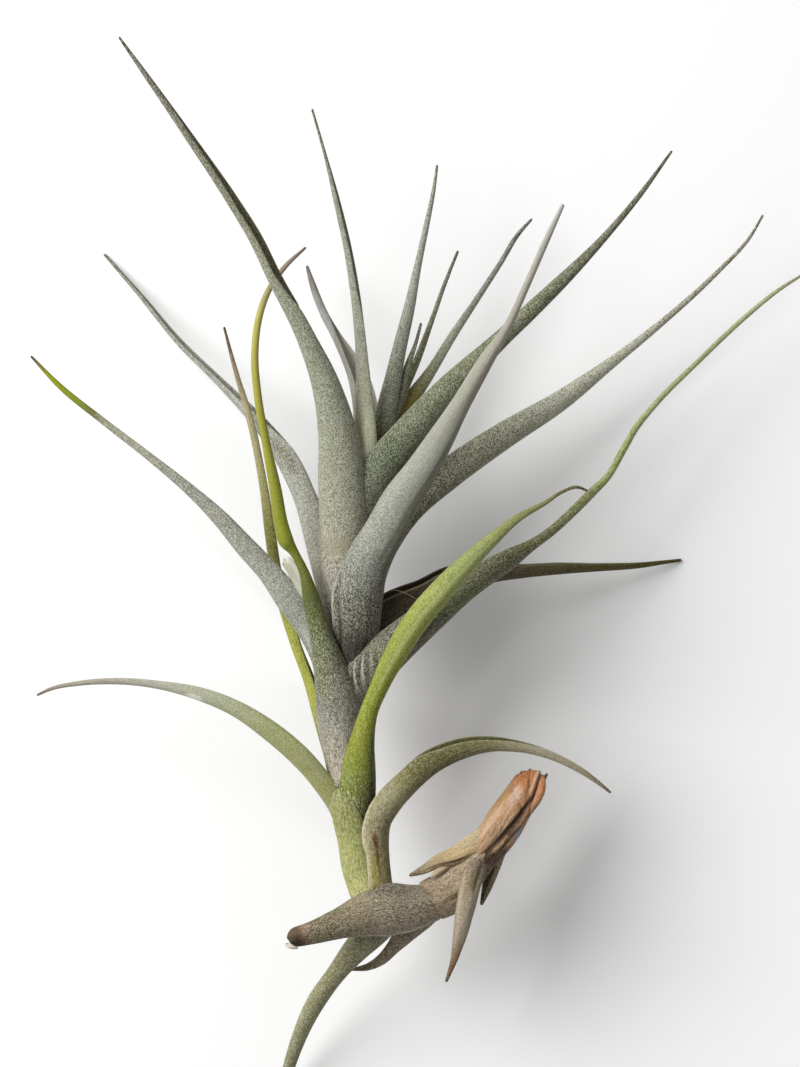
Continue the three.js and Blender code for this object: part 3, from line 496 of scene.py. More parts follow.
add_leaf(
    "leaf_inner_back_left", "olive_brown_leaf", open=(105, 101, 96, 97, 99, 103, 125, 150, 150, 150),
    # Its pale channel colour is painted light, which lifts the shade in its channel.
    turn=(-140, -138, -136, -134, -132, -130, -118, -85, -70, -60), channel_colour=(192, 186, 176),
    skin={"scale": (176, 174, 168), "channel": 0.95, "streaks": 0.15},
    route=[
        (-11, -1.5, -1, 3.4), (-9.3, 11, -2.5, 3.8), (-8, 23.5, -4, 3.6), (-8.6, 31.5, -6, 3.2),
        (-10.2, 38.5, -9, 2.7), (-12.7, 44, -11.5, 2), (-15.9, 49.5, -14, 1.25),
        (-19.2, 55.5, -16.5, 1.02), (-21.7, 61.9, -18.5, 0.84), (-23.3, 67.1, -20, 0.36),
    ],
    colours=[
        (0, 113, 113, 90), (3, 146, 147, 136), (5, 150, 148, 141), (7, 159, 157, 154), (9, 121, 113, 111),
    ],
)
add_leaf(
    "leaf_centre", "grey_green_leaf", turn=(30, 30),
    route=[
        (-9.5, 6, 0.5, 3), (-7.3, 17.3, 0.5, 3.2), (-4.5, 27.3, 0.5, 2.7), (-2.4, 36, 0, 2.2),
        (-0.2, 46, -0.5, 1.8), (2.3, 56.5, -1.5, 1.42), (4.5, 67.3, -2.5, 0.95), (6.8, 78, -3.5, 0.72),
        (8.5, 86.5, -4.5, 0.48), (9.3, 92.3, -5, 0.3),
    ],
    colours=[
        (0, 82, 84, 59), (1.6, 103, 106, 77), (2.4, 130, 136, 112), (4, 145, 149, 135), (6, 159, 161, 151),
        (8, 142, 134, 124), (9, 88, 64, 58),
    ],
)
add_leaf(
    "leaf_inner_right", "grey_green_leaf", turn=(120, 80, 60, 60, 60), bald=(3.8, 2.6),
    route=[
        (-9, 6, -1, 3.4), (-6, 16.5, -3, 3.4), (-1.8, 25.5, -5, 2.8), (2.8, 33.5, -7, 2),
        (7.8, 40.8, -9.5, 1.35), (13, 49.3, -12, 1.1), (19.1, 58.5, -15, 0.8), (25.4, 68.2, -18, 0.65),
        (29.5, 74.9, -20, 0.55), (33, 78.8, -21, 0.3),
    ],
    colours=[
        (0, 94, 82, 8), (2, 100, 90, 8), (3.2, 130, 122, 34), (4, 164, 164, 128), (4.8, 182, 185, 164),
        (6, 140, 140, 130), (7, 110, 105, 102), (8.4, 76, 70, 70), (9, 40, 34, 32),
    ],
)
add_leaf(
    "leaf_heart", "grey_green_leaf", turn=(110, 80, 60, 50, 50),
    route=[
        (-8.5, 8.5, -1.5, 2.6), (-5.8, 18.5, -2.5, 2.6), (-2.3, 27.3, -3.5, 2), (1, 36, -4.5, 1.2),
        (4.3, 43.5, -6, 0.95), (7.8, 53, -7.5, 0.65), (11.3, 62.8, -9, 0.5), (14.5, 70.8, -10, 0.35),
    ],
    colours=[
        (0, 74, 70, 40), (2, 105, 99, 58), (3.2, 129, 126, 84), (5, 135, 135, 106), (6.4, 84, 78, 64),
        (7, 52, 44, 38),
    ],
)
add_leaf(
    "leaf_heart_small", "grey_green_leaf", turn=(40, 40),
    route=[
        (-7.3, 13.5, -0.5, 1.8), (-3.8, 24.8, -1, 1.6), (-0.3, 34, -1.5, 1.15), (2, 42.3, -2, 0.85),
        (3.8, 47.3, -2.5, 0.5), (5.3, 52.8, -3, 0.35),
    ],
    colours=[(0, 84, 84, 60), (2, 104, 106, 82), (3.4, 124, 126, 106), (5, 84, 74, 62)],
)
add_leaf(
    "leaf_torn_left", "dead_leaf", open=OPEN_FLAT, turn=(-60, -60), clasp=0, waves=(0.15, 3, 4),
    tear=(0, 1.6, 0), channel_colour=(190, 186, 168),
    skin={"channel": 0.9, "scales": 0.2, "patches": 0.1, "streaks": 0.1},
    route=[
        (-19.5, -30.3, 3.5, 1.6), (-23.5, -15.8, 5.5, 1.4), (-25, -12.5, 6, 1.5), (-26.5, -9.6, 6.3, 1.6),
        (-28.2, -7, 6.5, 1.4), (-29.4, -5.7, 6.5, 1),
    ],
    marks=[(4.3, 0, 0.5, 0.2, (120, 92, 66), 0.8)],
    scars=[(3.4, 0.3, 1.2, 0.4, (146, 142, 112), 0.5)],
    colours=[(0, 180, 184, 156), (3, 200, 202, 186), (5, 214, 214, 204)],
)
add_leaf(
    "leaf_bottom", "grey_green_leaf", turn=(20, 10, 0, 0, 0), skin={"scales": 0.5},
    route=[
        (-2, -94.5, -1, 4), (-6.5, -99, -3, 4), (-11, -103.8, -6, 3.3), (-15.5, -109.3, -10, 2.5),
        (-21, -117, -15.5, 2.35), (-25.5, -126.5, -22, 1.85), (-27.8, -133.3, -26, 1.5),
        (-29.8, -140.8, -30.5, 1), (-30.8, -148.3, -34, 0.4),
    ],
    colours=[(0, 108, 103, 64), (2, 118, 114, 71), (4.4, 129, 127, 82), (6, 116, 115, 71), (8, 91, 82, 53)],
)
add_leaf(
    "spine_back_low", "dead_leaf", turn=(-100, -80, -60), waves=(0.2, 5, 5),
    route=[
        (8, -92.8, -1.5, 3.8), (3, -97.8, -4.5, 3), (-0.5, -102, -7.5, 2), (-4.6, -106.3, -10, 1.35),
        (-8, -108.2, -12, 0.95), (-12.3, -108.9, -13, 0.35),
    ],
    colours=[(0, 104, 84, 62), (2, 104, 90, 66), (4, 112, 106, 80), (5, 90, 78, 60)],
)
add_leaf(
    "spine_back_right", "dead_leaf", turn=(-130, -125, -120), waves=(0.2, 5, 5),
    channel_colour=(58, 38, 24),
    route=[
        (25, -73.5, -1, 4), (24, -79, -3.5, 2.7), (22.8, -84.5, -5, 1.8), (21.5, -89, -6, 1.1),
        (20.3, -92.8, -6.5, 0.35),
    ],
    colours=[(0, 116, 92, 68), (2, 120, 106, 84), (4, 62, 44, 32)],
)

# Small torn pieces that lie on the leaves and sheaths.
add_leaf(
    "dry_sheath_flap", "papery_sheath", scrap=True, open=(100, 105, 110), turn=(-35, -40, -50), clasp=0,
    tear=(0.3, 0, 0), skin={"streaks": 0.3},
    route=[
        (34.5, -59.9, 1.6, 0.35), (35.3, -61.1, 1.9, 0.9), (35.4, -63, 2.3, 1.1), (34.6, -65.8, 2.4, 1.1),
        (33.2, -68.4, 2.1, 0.8), (31.6, -71, 1.4, 0.35),
    ],
    colours=[
        (0, 206, 146, 100), (1, 222, 158, 112), (2, 214, 138, 92), (3, 204, 138, 100), (4, 176, 122, 92),
        (5, 120, 84, 60),
    ],
)
add_leaf(
    "stump_membrane", "papery_sheath", scrap=True, open=(80, 80), turn=(-20, -20), clasp=0,
    tear=(0.5, 0.9, 0), skin=FIBRE_SKIN,
    route=[(-25.4, -103.2, 4.6, 0.6), (-27.2, -103, 4.7, 0.75), (-28.9, -102.4, 4.4, 0.4)],
    marks=[(1.8, 0.6, 0.3, 0.4, (104, 84, 80), 0.8)],
    colours=[(0, 226, 216, 204), (2, 214, 200, 192)],
)
add_leaf(
    "pale_tissue", "papery_sheath", scrap=True, open=(70, 70), clasp=0, tear=(0.6, 0.8, 0),
    skin={"streaks": 0.2, "scales": 0.2},
    route=[
        (12.6, -82.9, 3.5, 0.4), (10.6, -83.7, 3.9, 0.8), (8.8, -84.9, 4.1, 0.75), (7.6, -86.2, 3.8, 0.4),
    ],
    colours=[(0, 190, 170, 140), (1, 200, 184, 156), (3, 186, 168, 140)],
)
add_leaf(
    "stray_fibre", "papery_sheath", scrap=True, open=(100, 100), clasp=0, skin=FIBRE_SKIN,
    route=[(-2, -13.9, 3.6, 0.12), (0, -14.3, 3.6, 0.12), (2.2, -15.2, 3, 0.12), (4.6, -16.6, 1.4, 0.1)],
    colours=[(0, 168, 150, 128), (3, 150, 132, 112)],
)
add_leaf(
    "sheath_fibre", "papery_sheath", scrap=True, open=(100, 100), clasp=0, skin=FIBRE_SKIN,
    route=[
        (-17, -68.5, 3.7, 0.16), (-16.7, -65.6, 3.5, 0.2), (-15.2, -62.9, 3.1, 0.22),
        (-13.5, -64.8, 5.2, 0.22), (-11.8, -67.5, 6.3, 0.2), (-9.8, -70.5, 5.5, 0.12),
    ],
    colours=[(0, 150, 152, 104), (2, 190, 188, 156), (5, 140, 142, 96)],
)

# How each kind of surface looks: the strength and colour of its pale scales, of its streaks, of its broad
# patches and of its bumps, the channel's painted shade against the back, how rough it is and how strongly
# its base wrinkles, in painted shade in the furrows and painted highlight on the ridges.
SKINS = {
    "grey_green_leaf": {
        "scales": 0.64, "streaks": 0.12, "patches": 0.22, "patch": (150, 140, 118), "bump": 0.6,
        "channel": 0.78, "rough": 0.8, "wrinkles": 0.45, "scale": (206, 207, 188),
    },
    "yellow_green_leaf": {
        "scales": 0.3, "streaks": 0.16, "patches": 0.25, "patch": (112, 126, 28), "bump": 0.35,
        "channel": 0.85, "rough": 0.6, "wrinkles": 0.4, "scale": (186, 194, 128),
    },
    "olive_brown_leaf": {
        "scales": 0.4, "streaks": 0.3, "patches": 0.3, "patch": (92, 74, 56), "bump": 0.5,
        "channel": 0.8, "rough": 0.75, "wrinkles": 0.45, "scale": (190, 180, 140),
    },
    "dead_leaf": {
        "scales": 0.6, "streaks": 0.3, "patches": 0.4, "patch": (138, 112, 84), "bump": 0.7,
        "channel": 0.55, "rough": 0.85, "wrinkles": 0.45, "scale": (202, 192, 168),
    },
    "papery_sheath": {
        "scales": 0.3, "streaks": 0.35, "patches": 0.3, "patch": (158, 124, 92), "bump": 0.9,
        "channel": 0.55, "rough": 0.7, "wrinkles": 0.4, "scale": (214, 190, 160),
    },
}
# How far the scales' rows are drawn out along a leaf, and what is left of the scales on a bald stretch.
PLAIN_SKIN = {"stretch": 0.85, "residue": 0.06}

# The scales' noise: grains to a millimetre, and its steps from leaf to leaf and from back to channel,
# both a whole number of grains.
GRAIN_SCALE = 5.5
HALF_CELL = 0.5 / GRAIN_SCALE
LEAF_STEP = 18
CHANNEL_STEP = 40.0

# The skin's noises: how far each is drawn out along the leaf, its scale, its detail and its roughness. The
# grain's and the marks' ragged edges' have no such first value.
PATCH_NOISE = (0.35, 0.22, 3.0, 0.5)
STREAK_NOISE = (0.1, 2.6, 3.0, 0.6)
WRINKLE_NOISE = (0.5, 2.2, 2.0, 0.6)
GRAIN_NOISE = (GRAIN_SCALE, 1.5, 0.6)
MARK_NOISE = (1.2, 3.0)
MARK_ROUND = 5.0
BARK_NOISE = (900.0, 4.0, 0.6)

# The values from which to which each part of the skin's pattern comes in.
PATCH_EDGE = (0.4, 0.65)
STREAK_EDGE = (0.35, 0.65)
WRINKLE_EDGE = (0.52, 0.42)
RIDGE_EDGE = (0.53, 0.62)
SCALE_EDGE = (0.5, 0.6)
PIT_EDGE = (0.49, 0.38)
CHANNEL_EDGE = (0.9, 0.1)
MARGIN_EDGE = (0.95, 1.0)
FOLD_EDGE = (0.05, 0.8)
CREST_EDGE = (-0.05, -0.4)
MARK_EDGE = (1.35, 0.7)
SHEATH_EDGE = (1.2, -1.0)  # route points from the clasp's place

# How strong some parts of it are, how high its bumps stand and how it shines.
CHANNEL_LEAST = 0.35
RIDGE_SHARE = 0.7
FOLD_STRENGTH = 0.85
CREST_STRENGTH = 0.6
MARGIN_STRENGTH = 0.35
MARK_RAGGED = 0.5
WRINKLE_HEIGHT = 3.0
SKIN_HEIGHT = 0.16 * MM
SHINE = 0.18
SHEEN = 0.04
BARK_ROUGHNESS = 0.85
BARK_BUMP = (0.2 * MM, 0.8)

# Paints as a picture has them, and dark colours as Blender has them, some of them painted shade and
# highlight.
RIDGE_PAINTED_HIGHLIGHT = (196, 190, 178)
MARGIN_PAINT = (196, 192, 166)
BARK_PAINTS = [(0.3, 82, 62, 42), (0.7, 152, 124, 90)]
CHANNEL_PAINTED_SHADE = (0.03, 0.035, 0.015, 1)
STREAK_SHADE = (0.04, 0.035, 0.02, 1)
FURROW_PAINTED_SHADE = (0.05, 0.04, 0.03, 1)
PIT_SHADE = (0.028, 0.033, 0.014, 1)
FOLD_PAINTED_SHADE_AND_STAIN = (0.045, 0.022, 0.012, 1)


def mix(a, b, t):
    """A value between a at t 0 and b at t 1."""
    return a + (b - a) * t


def smooth_step(value, low, high):
    """0 below low, 1 above high, smooth between."""
    t = min(max((value - low) / (high - low), 0), 1)
    return t * t * (3 - 2 * t)


def route_point(route, place):
    """A point and the half width on a smooth curve through a route, at 'place' counted in points."""
    last = len(route) - 1
    i = min(int(place), last - 1)
    t = place - i

    def span(k):
        return math.dist(route[k][:3], route[k + 1][:3])

    def slope(k, c):
        def rise(j):
            return (route[j + 1][c] - route[j][c]) / span(j)
        if k == 0:
            return rise(0)
        if k == last:
            return rise(last - 1)
        return (rise(k - 1) * span(k) + rise(k) * span(k - 1)) / (span(k - 1) + span(k))

    x, y, z, half_width = (
        route[i][c] * (1 + 2 * t) * (1 - t) ** 2
        + slope(i, c) * span(i) * t * (1 - t) ** 2
        + route[i + 1][c] * (3 - 2 * t) * t ** 2
        - slope(i + 1, c) * span(i) * (1 - t) * t ** 2
        for c in range(4)
    )
    nearer = 1 - z / VIEW_HEIGHT
    return Vector((x * nearer, y * nearer, z)), half_width * nearer


def along_leaf(values, share):
    """A value at a share of a leaf's length, from values at even steps from base to tip."""
    place = share * (len(values) - 1)
    i = min(int(place), len(values) - 2)
    return mix(values[i], values[i + 1], place - i)


def route_frame(route, place):
    """A route's point, half width, tangent, direction to the right and direction up from it."""
    last = len(route) - 1
    centre, half_width = route_point(route, place)
    ahead, _ = route_point(route, min(place + ROUTE_STEP, last))
    behind, _ = route_point(route, max(place - ROUTE_STEP, 0))
    tangent = (ahead - behind).normalized()
    right = tangent.cross(Vector((0, 0, 1))).normalized()
    up = right.cross(tangent)
    return centre, max(half_width, THINNEST_LEAF), tangent, right, up


def arc_outline(turn, reach):
    """How far an arc of radius 1 reaches to the left and to the right, seen from above."""
    low = turn - reach
    high = turn + reach
    ends = [math.sin(math.radians(angle)) for angle in (low, high)]

    def covers(angle):
        return any(low <= a <= high for a in (angle - 360, angle, angle + 360))

    return -1 if covers(-90) else min(ends), 1 if covers(90) else max(ends)


def tear(depth, angle, seed):
    """How far a torn rim is drawn back at an angle round the leaf."""
    broad = noise.noise(Vector((math.cos(angle) * TEAR_BROAD, math.sin(angle) * TEAR_BROAD, seed)))
    fine = noise.noise(Vector((math.cos(angle) * TEAR_FINE, math.sin(angle) * TEAR_FINE, seed + 5)))
    return depth * (0.5 + broad + TEAR_FINE_SHARE * fine)


def fold_depth(leaf, place, across):
    """How deep, in millimetres, a leaf's folds lie at a place on it; below 0 is a ridge."""
    depth = 0
    for start, end, across_start, across_end, width, deep in leaf["folds"]:
        share = (place - start) / (end - start)
        if 0 < share < 1:
            off = (across - mix(across_start, across_end, share)) / width
            depth += deep * math.exp(-off * off) * math.sin(math.pi * share) ** FOLD_FADE
    return depth


def end_length(leaf):
    """How much of a leaf's last span, counted in route points, its rounded end takes up."""
    *_, before, end = leaf["route"]
    return max(end[3], THINNEST_LEAF) * leaf["end_roundness"] / math.dist(before[:3], end[:3])


def blunt_end(leaf, left):
    """The share of the half width that a leaf keeps near its tip, with 'left' route points to go."""
    length = end_length(leaf)
    return math.sqrt(max(1 - max(1 - left / length, 0) ** 2, TIP_SHARE))


def leaf_section(leaf, place, along, seed):
    """One closed ring of a leaf's section: a list of (point, across, channel, arc length)."""
    route = leaf["route"]
    last = len(route) - 1
    share = place / last
    centre, half_width, tangent, right, up = route_frame(route, place)
    half_width *= blunt_end(leaf, last - place)
    turn = along_leaf(leaf["turn"], share)
    reach = along_leaf(leaf["open"], share)
    left_side, right_side = arc_outline(turn, reach)
    free = smooth_step(place, *(leaf["clasp"] + step for step in CLASP_FADE))
    radius = mix(half_width, 2 * half_width / (right_side - left_side), free)
    hub = centre - right * (free * radius * (right_side + left_side) / 2)
    height, length, round_count = leaf["waves"]
    base_tear, tip_tear, slant = leaf["tear"]

    def point(across, depth_share):
        angle = math.radians(turn + across * reach)
        wall = mix(MARGIN_WALL, MIDDLE_WALL, math.cos(across * math.pi / 2))
        inner = max(radius - wall, radius * CORE_SHARE, THINNEST_CHANNEL)
        wave = noise.noise(Vector((along / length, across * round_count / 2, seed)))
        swell = height * wave * min(radius / 2, 1) - fold_depth(leaf, place, across)
        ray = up * math.cos(angle) + right * math.sin(angle)
        pull = (tear(base_tear, angle, seed) + slant * math.sin(angle)) * max(0, 1 - place) ** 2
        pull -= tear(tip_tear, angle, seed) * max(0, 1 - (last - place)) ** 2
        return hub + ray * (mix(radius, inner, depth_share) + swell) + tangent * pull

    steps = [2 * k / leaf["arc_steps"] - 1 for k in range(leaf["arc_steps"] + 1)]
    arc = math.radians(reach) * radius
    outer = [(point(across, 0), across, 0, across * arc) for across in steps]
    right_edge = (point(MARGIN_REACH, 0.5), 1, 0.5, arc)
    inner = [(point(across, 1), across, 1, across * arc) for across in reversed(steps)]
    left_edge = (point(-MARGIN_REACH, 0.5), -1, 0.5, -arc)
    return [*outer, right_edge, *inner, left_edge]


def mesh_object(name, rings):
    """A closed mesh through rings whose corners have their point first."""
    size = len(rings[0])
    vertices = [MM * (corner[0] + ORIGIN_SHIFT) for ring in rings for corner in ring]
    faces = [
        (i * size + k, i * size + (k + 1) % size, (i + 1) * size + (k + 1) % size, (i + 1) * size + k)
        for i in range(len(rings) - 1)
        for k in range(size)
    ]
    faces.append(tuple(reversed(range(size))))
    faces.append(tuple((len(rings) - 1) * size + k for k in range(size)))
    mesh = bpy.data.meshes.new(name)
    mesh.from_pydata(vertices, [], faces)
    shell = bmesh.new()
    shell.from_mesh(mesh)
    bmesh.ops.recalc_face_normals(shell, faces=shell.faces)
    bmesh.ops.triangulate(shell, faces=[face for face in shell.faces if len(face.verts) > 4])
    shell.to_mesh(mesh)
    shell.free()
    mesh.shade_smooth()
    obj = bpy.data.objects.new(name, mesh)
    bpy.context.scene.collection.objects.link(obj)
    return obj


def build_leaf(name, leaf, seed):
    """A leaf as a thin closed shell, with the numbers that its material reads."""
    route = leaf["route"]
    last = len(route) - 1
    length = end_length(leaf)
    places = [i / leaf["rings"] for i in range(last * leaf["rings"]) if i / leaf["rings"] < last - length]
    places += [last - length * (1 - math.sin(math.pi / 2 * k / END_RINGS)) for k in range(END_RINGS + 1)]
    rings = []
    corners = []
    along = 0
    before = None
    for place in places:
        centre, _ = route_point(route, place)
        along += (centre - before).length if before else 0
        before = centre
        ring = leaf_section(leaf, place, along, seed)
        rings.append(ring)
        corners += [(place, along, *corner[1:], fold_depth(leaf, place, corner[1])) for corner in ring]
    obj = mesh_object(name + "_look", rings)
    for key, values in zip(("place", "along", "across", "channel", "arc", "fold"), zip(*corners)):
        obj.data.attributes.new(key, "FLOAT", "POINT").data.foreach_set("value", values)
    return obj


def linear(colour):
    """A picture's red, green and blue, 0 to 255, as Blender's linear colour."""
    parts = [c / 255 for c in colour]
    return (*[c / 12.92 if c <= 0.04045 else ((c + 0.055) / 1.055) ** 2.4 for c in parts], 1)


class Tree:
    """Short calls for a material's nodes. A value is a number, a colour or another node's output."""

    def __init__(self, name):
        self.material = bpy.data.materials.new(name)
        self.material.use_nodes = True
        self.tree = self.material.node_tree

    def node(self, kind, inputs, output=0, **settings):
        made = self.tree.nodes.new(kind)
        for key, value in settings.items():
            setattr(made, key, value)
        for socket, value in inputs.items():
            self.set(made.inputs[socket], value)
        return made.outputs[output]

    def set(self, socket, value):
        if isinstance(value, bpy.types.NodeSocket):
            self.tree.links.new(value, socket)
        else:
            socket.default_value = value

    def surface(self, inputs):
        for socket, value in inputs.items():
            self.set(self.tree.nodes["Principled BSDF"].inputs[socket], value)
        return self.material

    def attribute(self, name):
        return self.node("ShaderNodeAttribute", {}, "Fac", attribute_name=name)

    def math(self, operation, *values):
        return self.node("ShaderNodeMath", dict(enumerate(values)), operation=operation)

    def times(self, a, b):
        return self.math("MULTIPLY", a, b)

    def range(self, value, edge, start=0.0, end=1.0):
        inputs = {"Value": value, "From Min": edge[0], "From Max": edge[1], "To Min": start, "To Max": end}
        return self.node("ShaderNodeMapRange", inputs, interpolation_type="SMOOTHSTEP")

    def vector(self, x, y, z):
        return self.node("ShaderNodeCombineXYZ", {0: x, 1: y, 2: z})

    def noise(self, vector, scale, detail=2.0, roughness=0.5):
        inputs = {"Vector": vector, "Scale": scale, "Detail": detail, "Roughness": roughness}
        return self.node("ShaderNodeTexNoise", inputs, "Fac")

    def blend(self, factor, a, b):
        return self.node("ShaderNodeMix", {0: factor, 6: a, 7: b}, 2, data_type="RGBA")

    def ramp(self, value, stops):
        made = self.tree.nodes.new("ShaderNodeValToRGB")
        self.set(made.inputs[0], value)
        elements = made.color_ramp.elements
        while len(elements) < len(stops):
            elements.new(0.5)
        for element, (position, *colour) in zip(elements, stops):
            element.position = position
            element.color = linear(colour)
        return made.outputs["Color"]

    def bump(self, height, distance, strength):
        return self.node("ShaderNodeBump", {"Height": height, "Distance": distance, "Strength": strength})


def paint_mark(tree, colour, place, across, along, mark):
    """A soft-edged oval mark on a leaf: (place, across, half length, half width, colour, strength)."""
    middle, off, half_length, half_width, paint, strength = mark
    u = tree.math("DIVIDE", tree.math("SUBTRACT", place, middle), half_length)
    v = tree.math("DIVIDE", tree.math("SUBTRACT", across, off), half_width)
    far = tree.math("SQRT", tree.math("ADD", tree.times(u, u), tree.times(v, v)))
    ragged = tree.noise(tree.vector(along, tree.times(across, MARK_ROUND), 0.0), *MARK_NOISE)
    far = tree.math("ADD", far, tree.times(ragged, MARK_RAGGED))
    return tree.blend(tree.range(far, MARK_EDGE, 0.0, strength), colour, linear(paint))


def leaf_material(name, leaf, seed):
    """Scurfy leaf skin: colour from base to tip, pale scales in rows, streaks, a channel darkened by
    painted shade, marks.
    """
    skin = {**PLAIN_SKIN, **SKINS[leaf["slot"]], **leaf["skin"]}
    tree = Tree(name)
    last = len(leaf["route"]) - 1
    place = tree.attribute("place")
    along = tree.attribute("along")
    arc = tree.attribute("arc")
    across = tree.attribute("across")
    channel = tree.attribute("channel")
    off_middle = tree.math("ABSOLUTE", across)
    # Each side of each leaf has its own plane of the noise, half a grain off the planes where it fades.
    side = tree.math("MULTIPLY_ADD", channel, CHANNEL_STEP, seed * LEAF_STEP + HALF_CELL)

    def skin_noise(stretch, *settings):
        return tree.noise(tree.vector(tree.times(along, stretch), arc, side), *settings)

    stops = [(spot / last, *colour) for spot, *colour in leaf["colours"]]
    colour = tree.ramp(tree.math("DIVIDE", place, float(last)), stops)
    # Broad patches.
    patches = tree.range(skin_noise(*PATCH_NOISE), PATCH_EDGE, 0.0, skin["patches"])
    colour = tree.blend(patches, colour, linear(skin["patch"]))
    # Painted shade in the channel, darkest along its middle.
    middle = tree.range(off_middle, CHANNEL_EDGE, CHANNEL_LEAST, 1.0)
    shade = tree.times(tree.times(channel, middle), 1 - skin["channel"])
    # The channel side's own colour where one is set, painted light and shade: darker for shade in some
    # leaves, paler to lift shade in others.
    if leaf["channel_colour"]:
        colour = tree.blend(channel, colour, linear(leaf["channel_colour"]))
    colour = tree.blend(shade, colour, CHANNEL_PAINTED_SHADE)
    for mark in leaf["marks"]:
        colour = paint_mark(tree, colour, place, across, along, mark)
    # Lengthwise streaks, and wrinkles where the leaf clasps the stem: painted shade in their furrows and a
    # painted highlight on their ridges.
    streaks = skin_noise(*STREAK_NOISE)
    colour = tree.blend(tree.range(streaks, STREAK_EDGE, skin["streaks"], 0.0), colour, STREAK_SHADE)
    sheath = tree.range(place, [leaf["clasp"] + step for step in SHEATH_EDGE])
    wrinkles = skin_noise(*WRINKLE_NOISE)
    furrows = tree.range(wrinkles, WRINKLE_EDGE, 0.0, skin["wrinkles"])
    colour = tree.blend(tree.times(furrows, sheath), colour, FURROW_PAINTED_SHADE)
    ridges = tree.range(wrinkles, RIDGE_EDGE, 0.0, skin["wrinkles"] * RIDGE_SHARE)
    colour = tree.blend(tree.times(ridges, sheath), colour, linear(RIDGE_PAINTED_HIGHLIGHT))
    # Pale scales and the dark skin between them, which fade along a bald stretch.
    scurf = tree.range(place, leaf["bald"] or (last + 1, last + 2), skin["scales"], skin["residue"])
    grain = skin_noise(skin["stretch"], *GRAIN_NOISE)
    colour = tree.blend(tree.times(tree.range(grain, SCALE_EDGE), scurf), colour, linear(skin["scale"]))
    colour = tree.blend(tree.times(tree.range(grain, PIT_EDGE), scurf), colour, PIT_SHADE)
    # Painted shade and stain in the folds, and pale crests, a painted highlight.
    if leaf["folds"]:
        depth = tree.attribute("fold")
        colour = tree.blend(tree.range(depth, FOLD_EDGE, 0.0, FOLD_STRENGTH), colour, FOLD_PAINTED_SHADE_AND_STAIN)
        crests = tree.range(depth, CREST_EDGE, 0.0, CREST_STRENGTH)
        colour = tree.blend(crests, colour, linear(skin["scale"]))
    # Scars, painted highlights and painted shade, above the scales.
    for scar in leaf["scars"]:
        colour = paint_mark(tree, colour, place, across, along, scar)
    # Thin pale margins.
    margins = tree.range(off_middle, MARGIN_EDGE, 0.0, MARGIN_STRENGTH)
    colour = tree.blend(margins, colour, linear(MARGIN_PAINT))
    height = tree.math("ADD", grain, tree.times(streaks, skin["streaks"] * 2))
    height = tree.math("ADD", height, tree.times(tree.times(wrinkles, sheath), WRINKLE_HEIGHT))
    return tree.surface({
        "Base Color": colour,
        "Normal": tree.bump(height, SKIN_HEIGHT, skin["bump"]),
        "Roughness": skin["rough"],
        "Specular IOR Level": SHINE,
        "Sheen Weight": SHEEN,
    })


def build_stem():
    """The woody stem: a round rod with a rough bark."""
    rings = []
    for i in range((len(STEM_ROUTE) - 1) * STEM_RINGS + 1):
        centre, radius, _, right, up = route_frame(STEM_ROUTE, i / STEM_RINGS)
        ring = []
        for k in range(STEM_SIDES):
            angle = 2 * math.pi * k / STEM_SIDES
            ray = up * math.cos(angle) + right * math.sin(angle)
            bark = BARK_HEIGHT * noise.noise(centre * BARK_ALONG + ray * BARK_ROUND)
            ring.append((centre + ray * (radius + bark),))
        rings.append(ring)
    return mesh_object("stem_look", rings)


def stem_material():
    """Brown fibrous bark."""
    tree = Tree("stem_wood")
    fibres = tree.noise(tree.node("ShaderNodeTexCoord", {}, "Object"), *BARK_NOISE)
    return tree.surface({
        "Base Color": tree.ramp(fibres, BARK_PAINTS),
        "Roughness": BARK_ROUGHNESS,
        "Normal": tree.bump(fibres, *BARK_BUMP),
    })


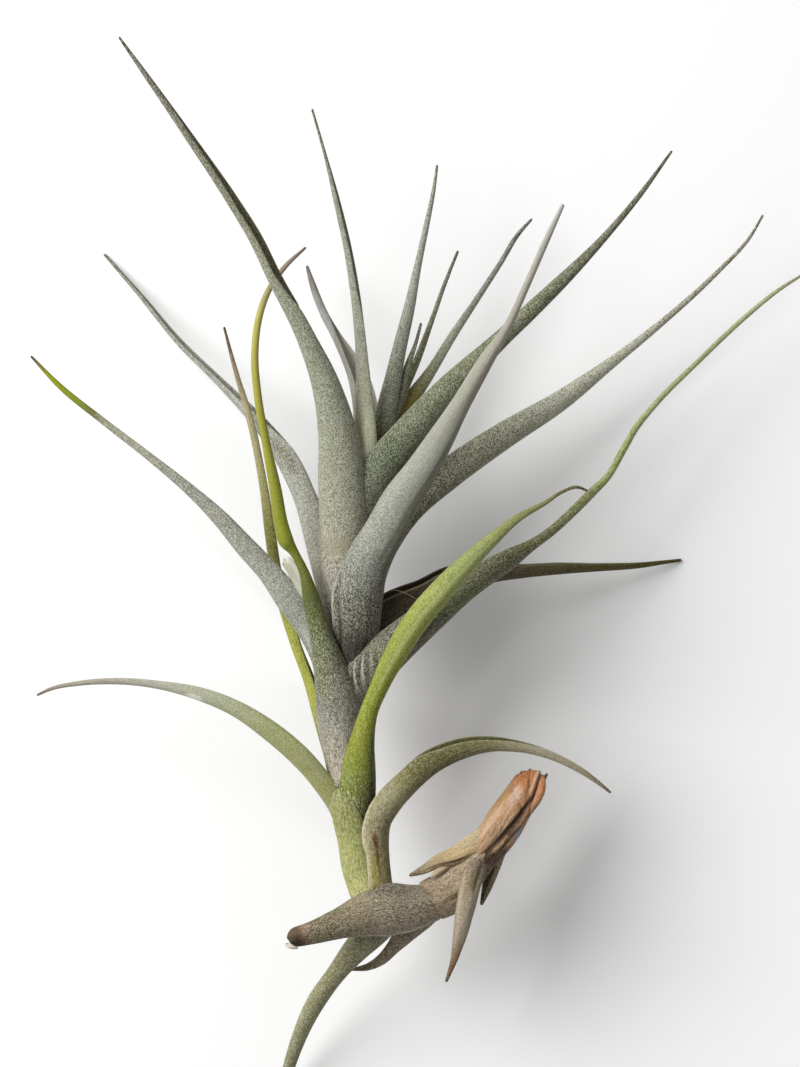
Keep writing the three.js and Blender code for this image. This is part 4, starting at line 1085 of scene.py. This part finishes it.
def dress(obj, material):
    """Gives a piece its material, body and material slot."""
    obj.data.materials.append(material)
    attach(obj, "root")


def build_floor():
    """A plain pale floor under the plant."""
    mesh = bpy.data.meshes.new("floor")
    half = FLOOR_HALF
    corners = [(-half, -half), (half, -half), (half, half), (-half, half)]
    mesh.from_pydata([(x, y, FLOOR_HEIGHT) for x, y in corners], [], [(0, 1, 2, 3)])
    floor = bpy.data.objects.new("floor", mesh)
    bpy.context.scene.collection.objects.link(floor)
    mesh.materials.append(Tree("floor").surface({"Base Color": FLOOR_COLOUR, "Roughness": FLOOR_ROUGHNESS}))


def build_light(name, place, size, power):
    """A soft square light that points at the plant."""
    light = bpy.data.lights.new(name, "AREA")
    light.size = size
    light.energy = power
    lamp = bpy.data.objects.new(name, light)
    lamp.location = place
    lamp.rotation_euler = (-Vector(place)).to_track_quat("-Z", "Y").to_euler()
    bpy.context.scene.collection.objects.link(lamp)


def build_world():
    """Even pale light from all round."""
    world = bpy.data.worlds.new("studio")
    world.use_nodes = True
    background = world.node_tree.nodes["Background"]
    background.inputs["Color"].default_value = (1, 1, 1, 1)
    background.inputs["Strength"].default_value = WORLD_STRENGTH
    bpy.context.scene.world = world


def build_camera():
    """A long lens that looks straight down on the plant."""
    camera = bpy.data.cameras.new("camera")
    camera.sensor_fit = "VERTICAL"
    camera.sensor_height = CAMERA_SENSOR
    camera.lens = CAMERA_SENSOR * VIEW_HEIGHT / CAMERA_COVER
    viewer = bpy.data.objects.new("camera", camera)
    viewer.location = MM * (ORIGIN_SHIFT + Vector((0, HALF_PIXEL, VIEW_HEIGHT)))
    bpy.context.scene.collection.objects.link(viewer)
    bpy.context.scene.camera = viewer


for seed, (name, leaf) in enumerate(LEAVES.items()):
    piece = build_leaf(name, leaf, seed)
    dress(piece, leaf_material(name, leaf, seed))
    if not leaf["scrap"]:
        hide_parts(name)
stem = build_stem()
dress(stem, stem_material())
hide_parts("stem")

build_floor()
build_light("key", KEY_PLACE, KEY_SIZE, KEY_POWER)
build_world()
build_camera()
bpy.context.scene.view_settings.view_transform = "Standard"
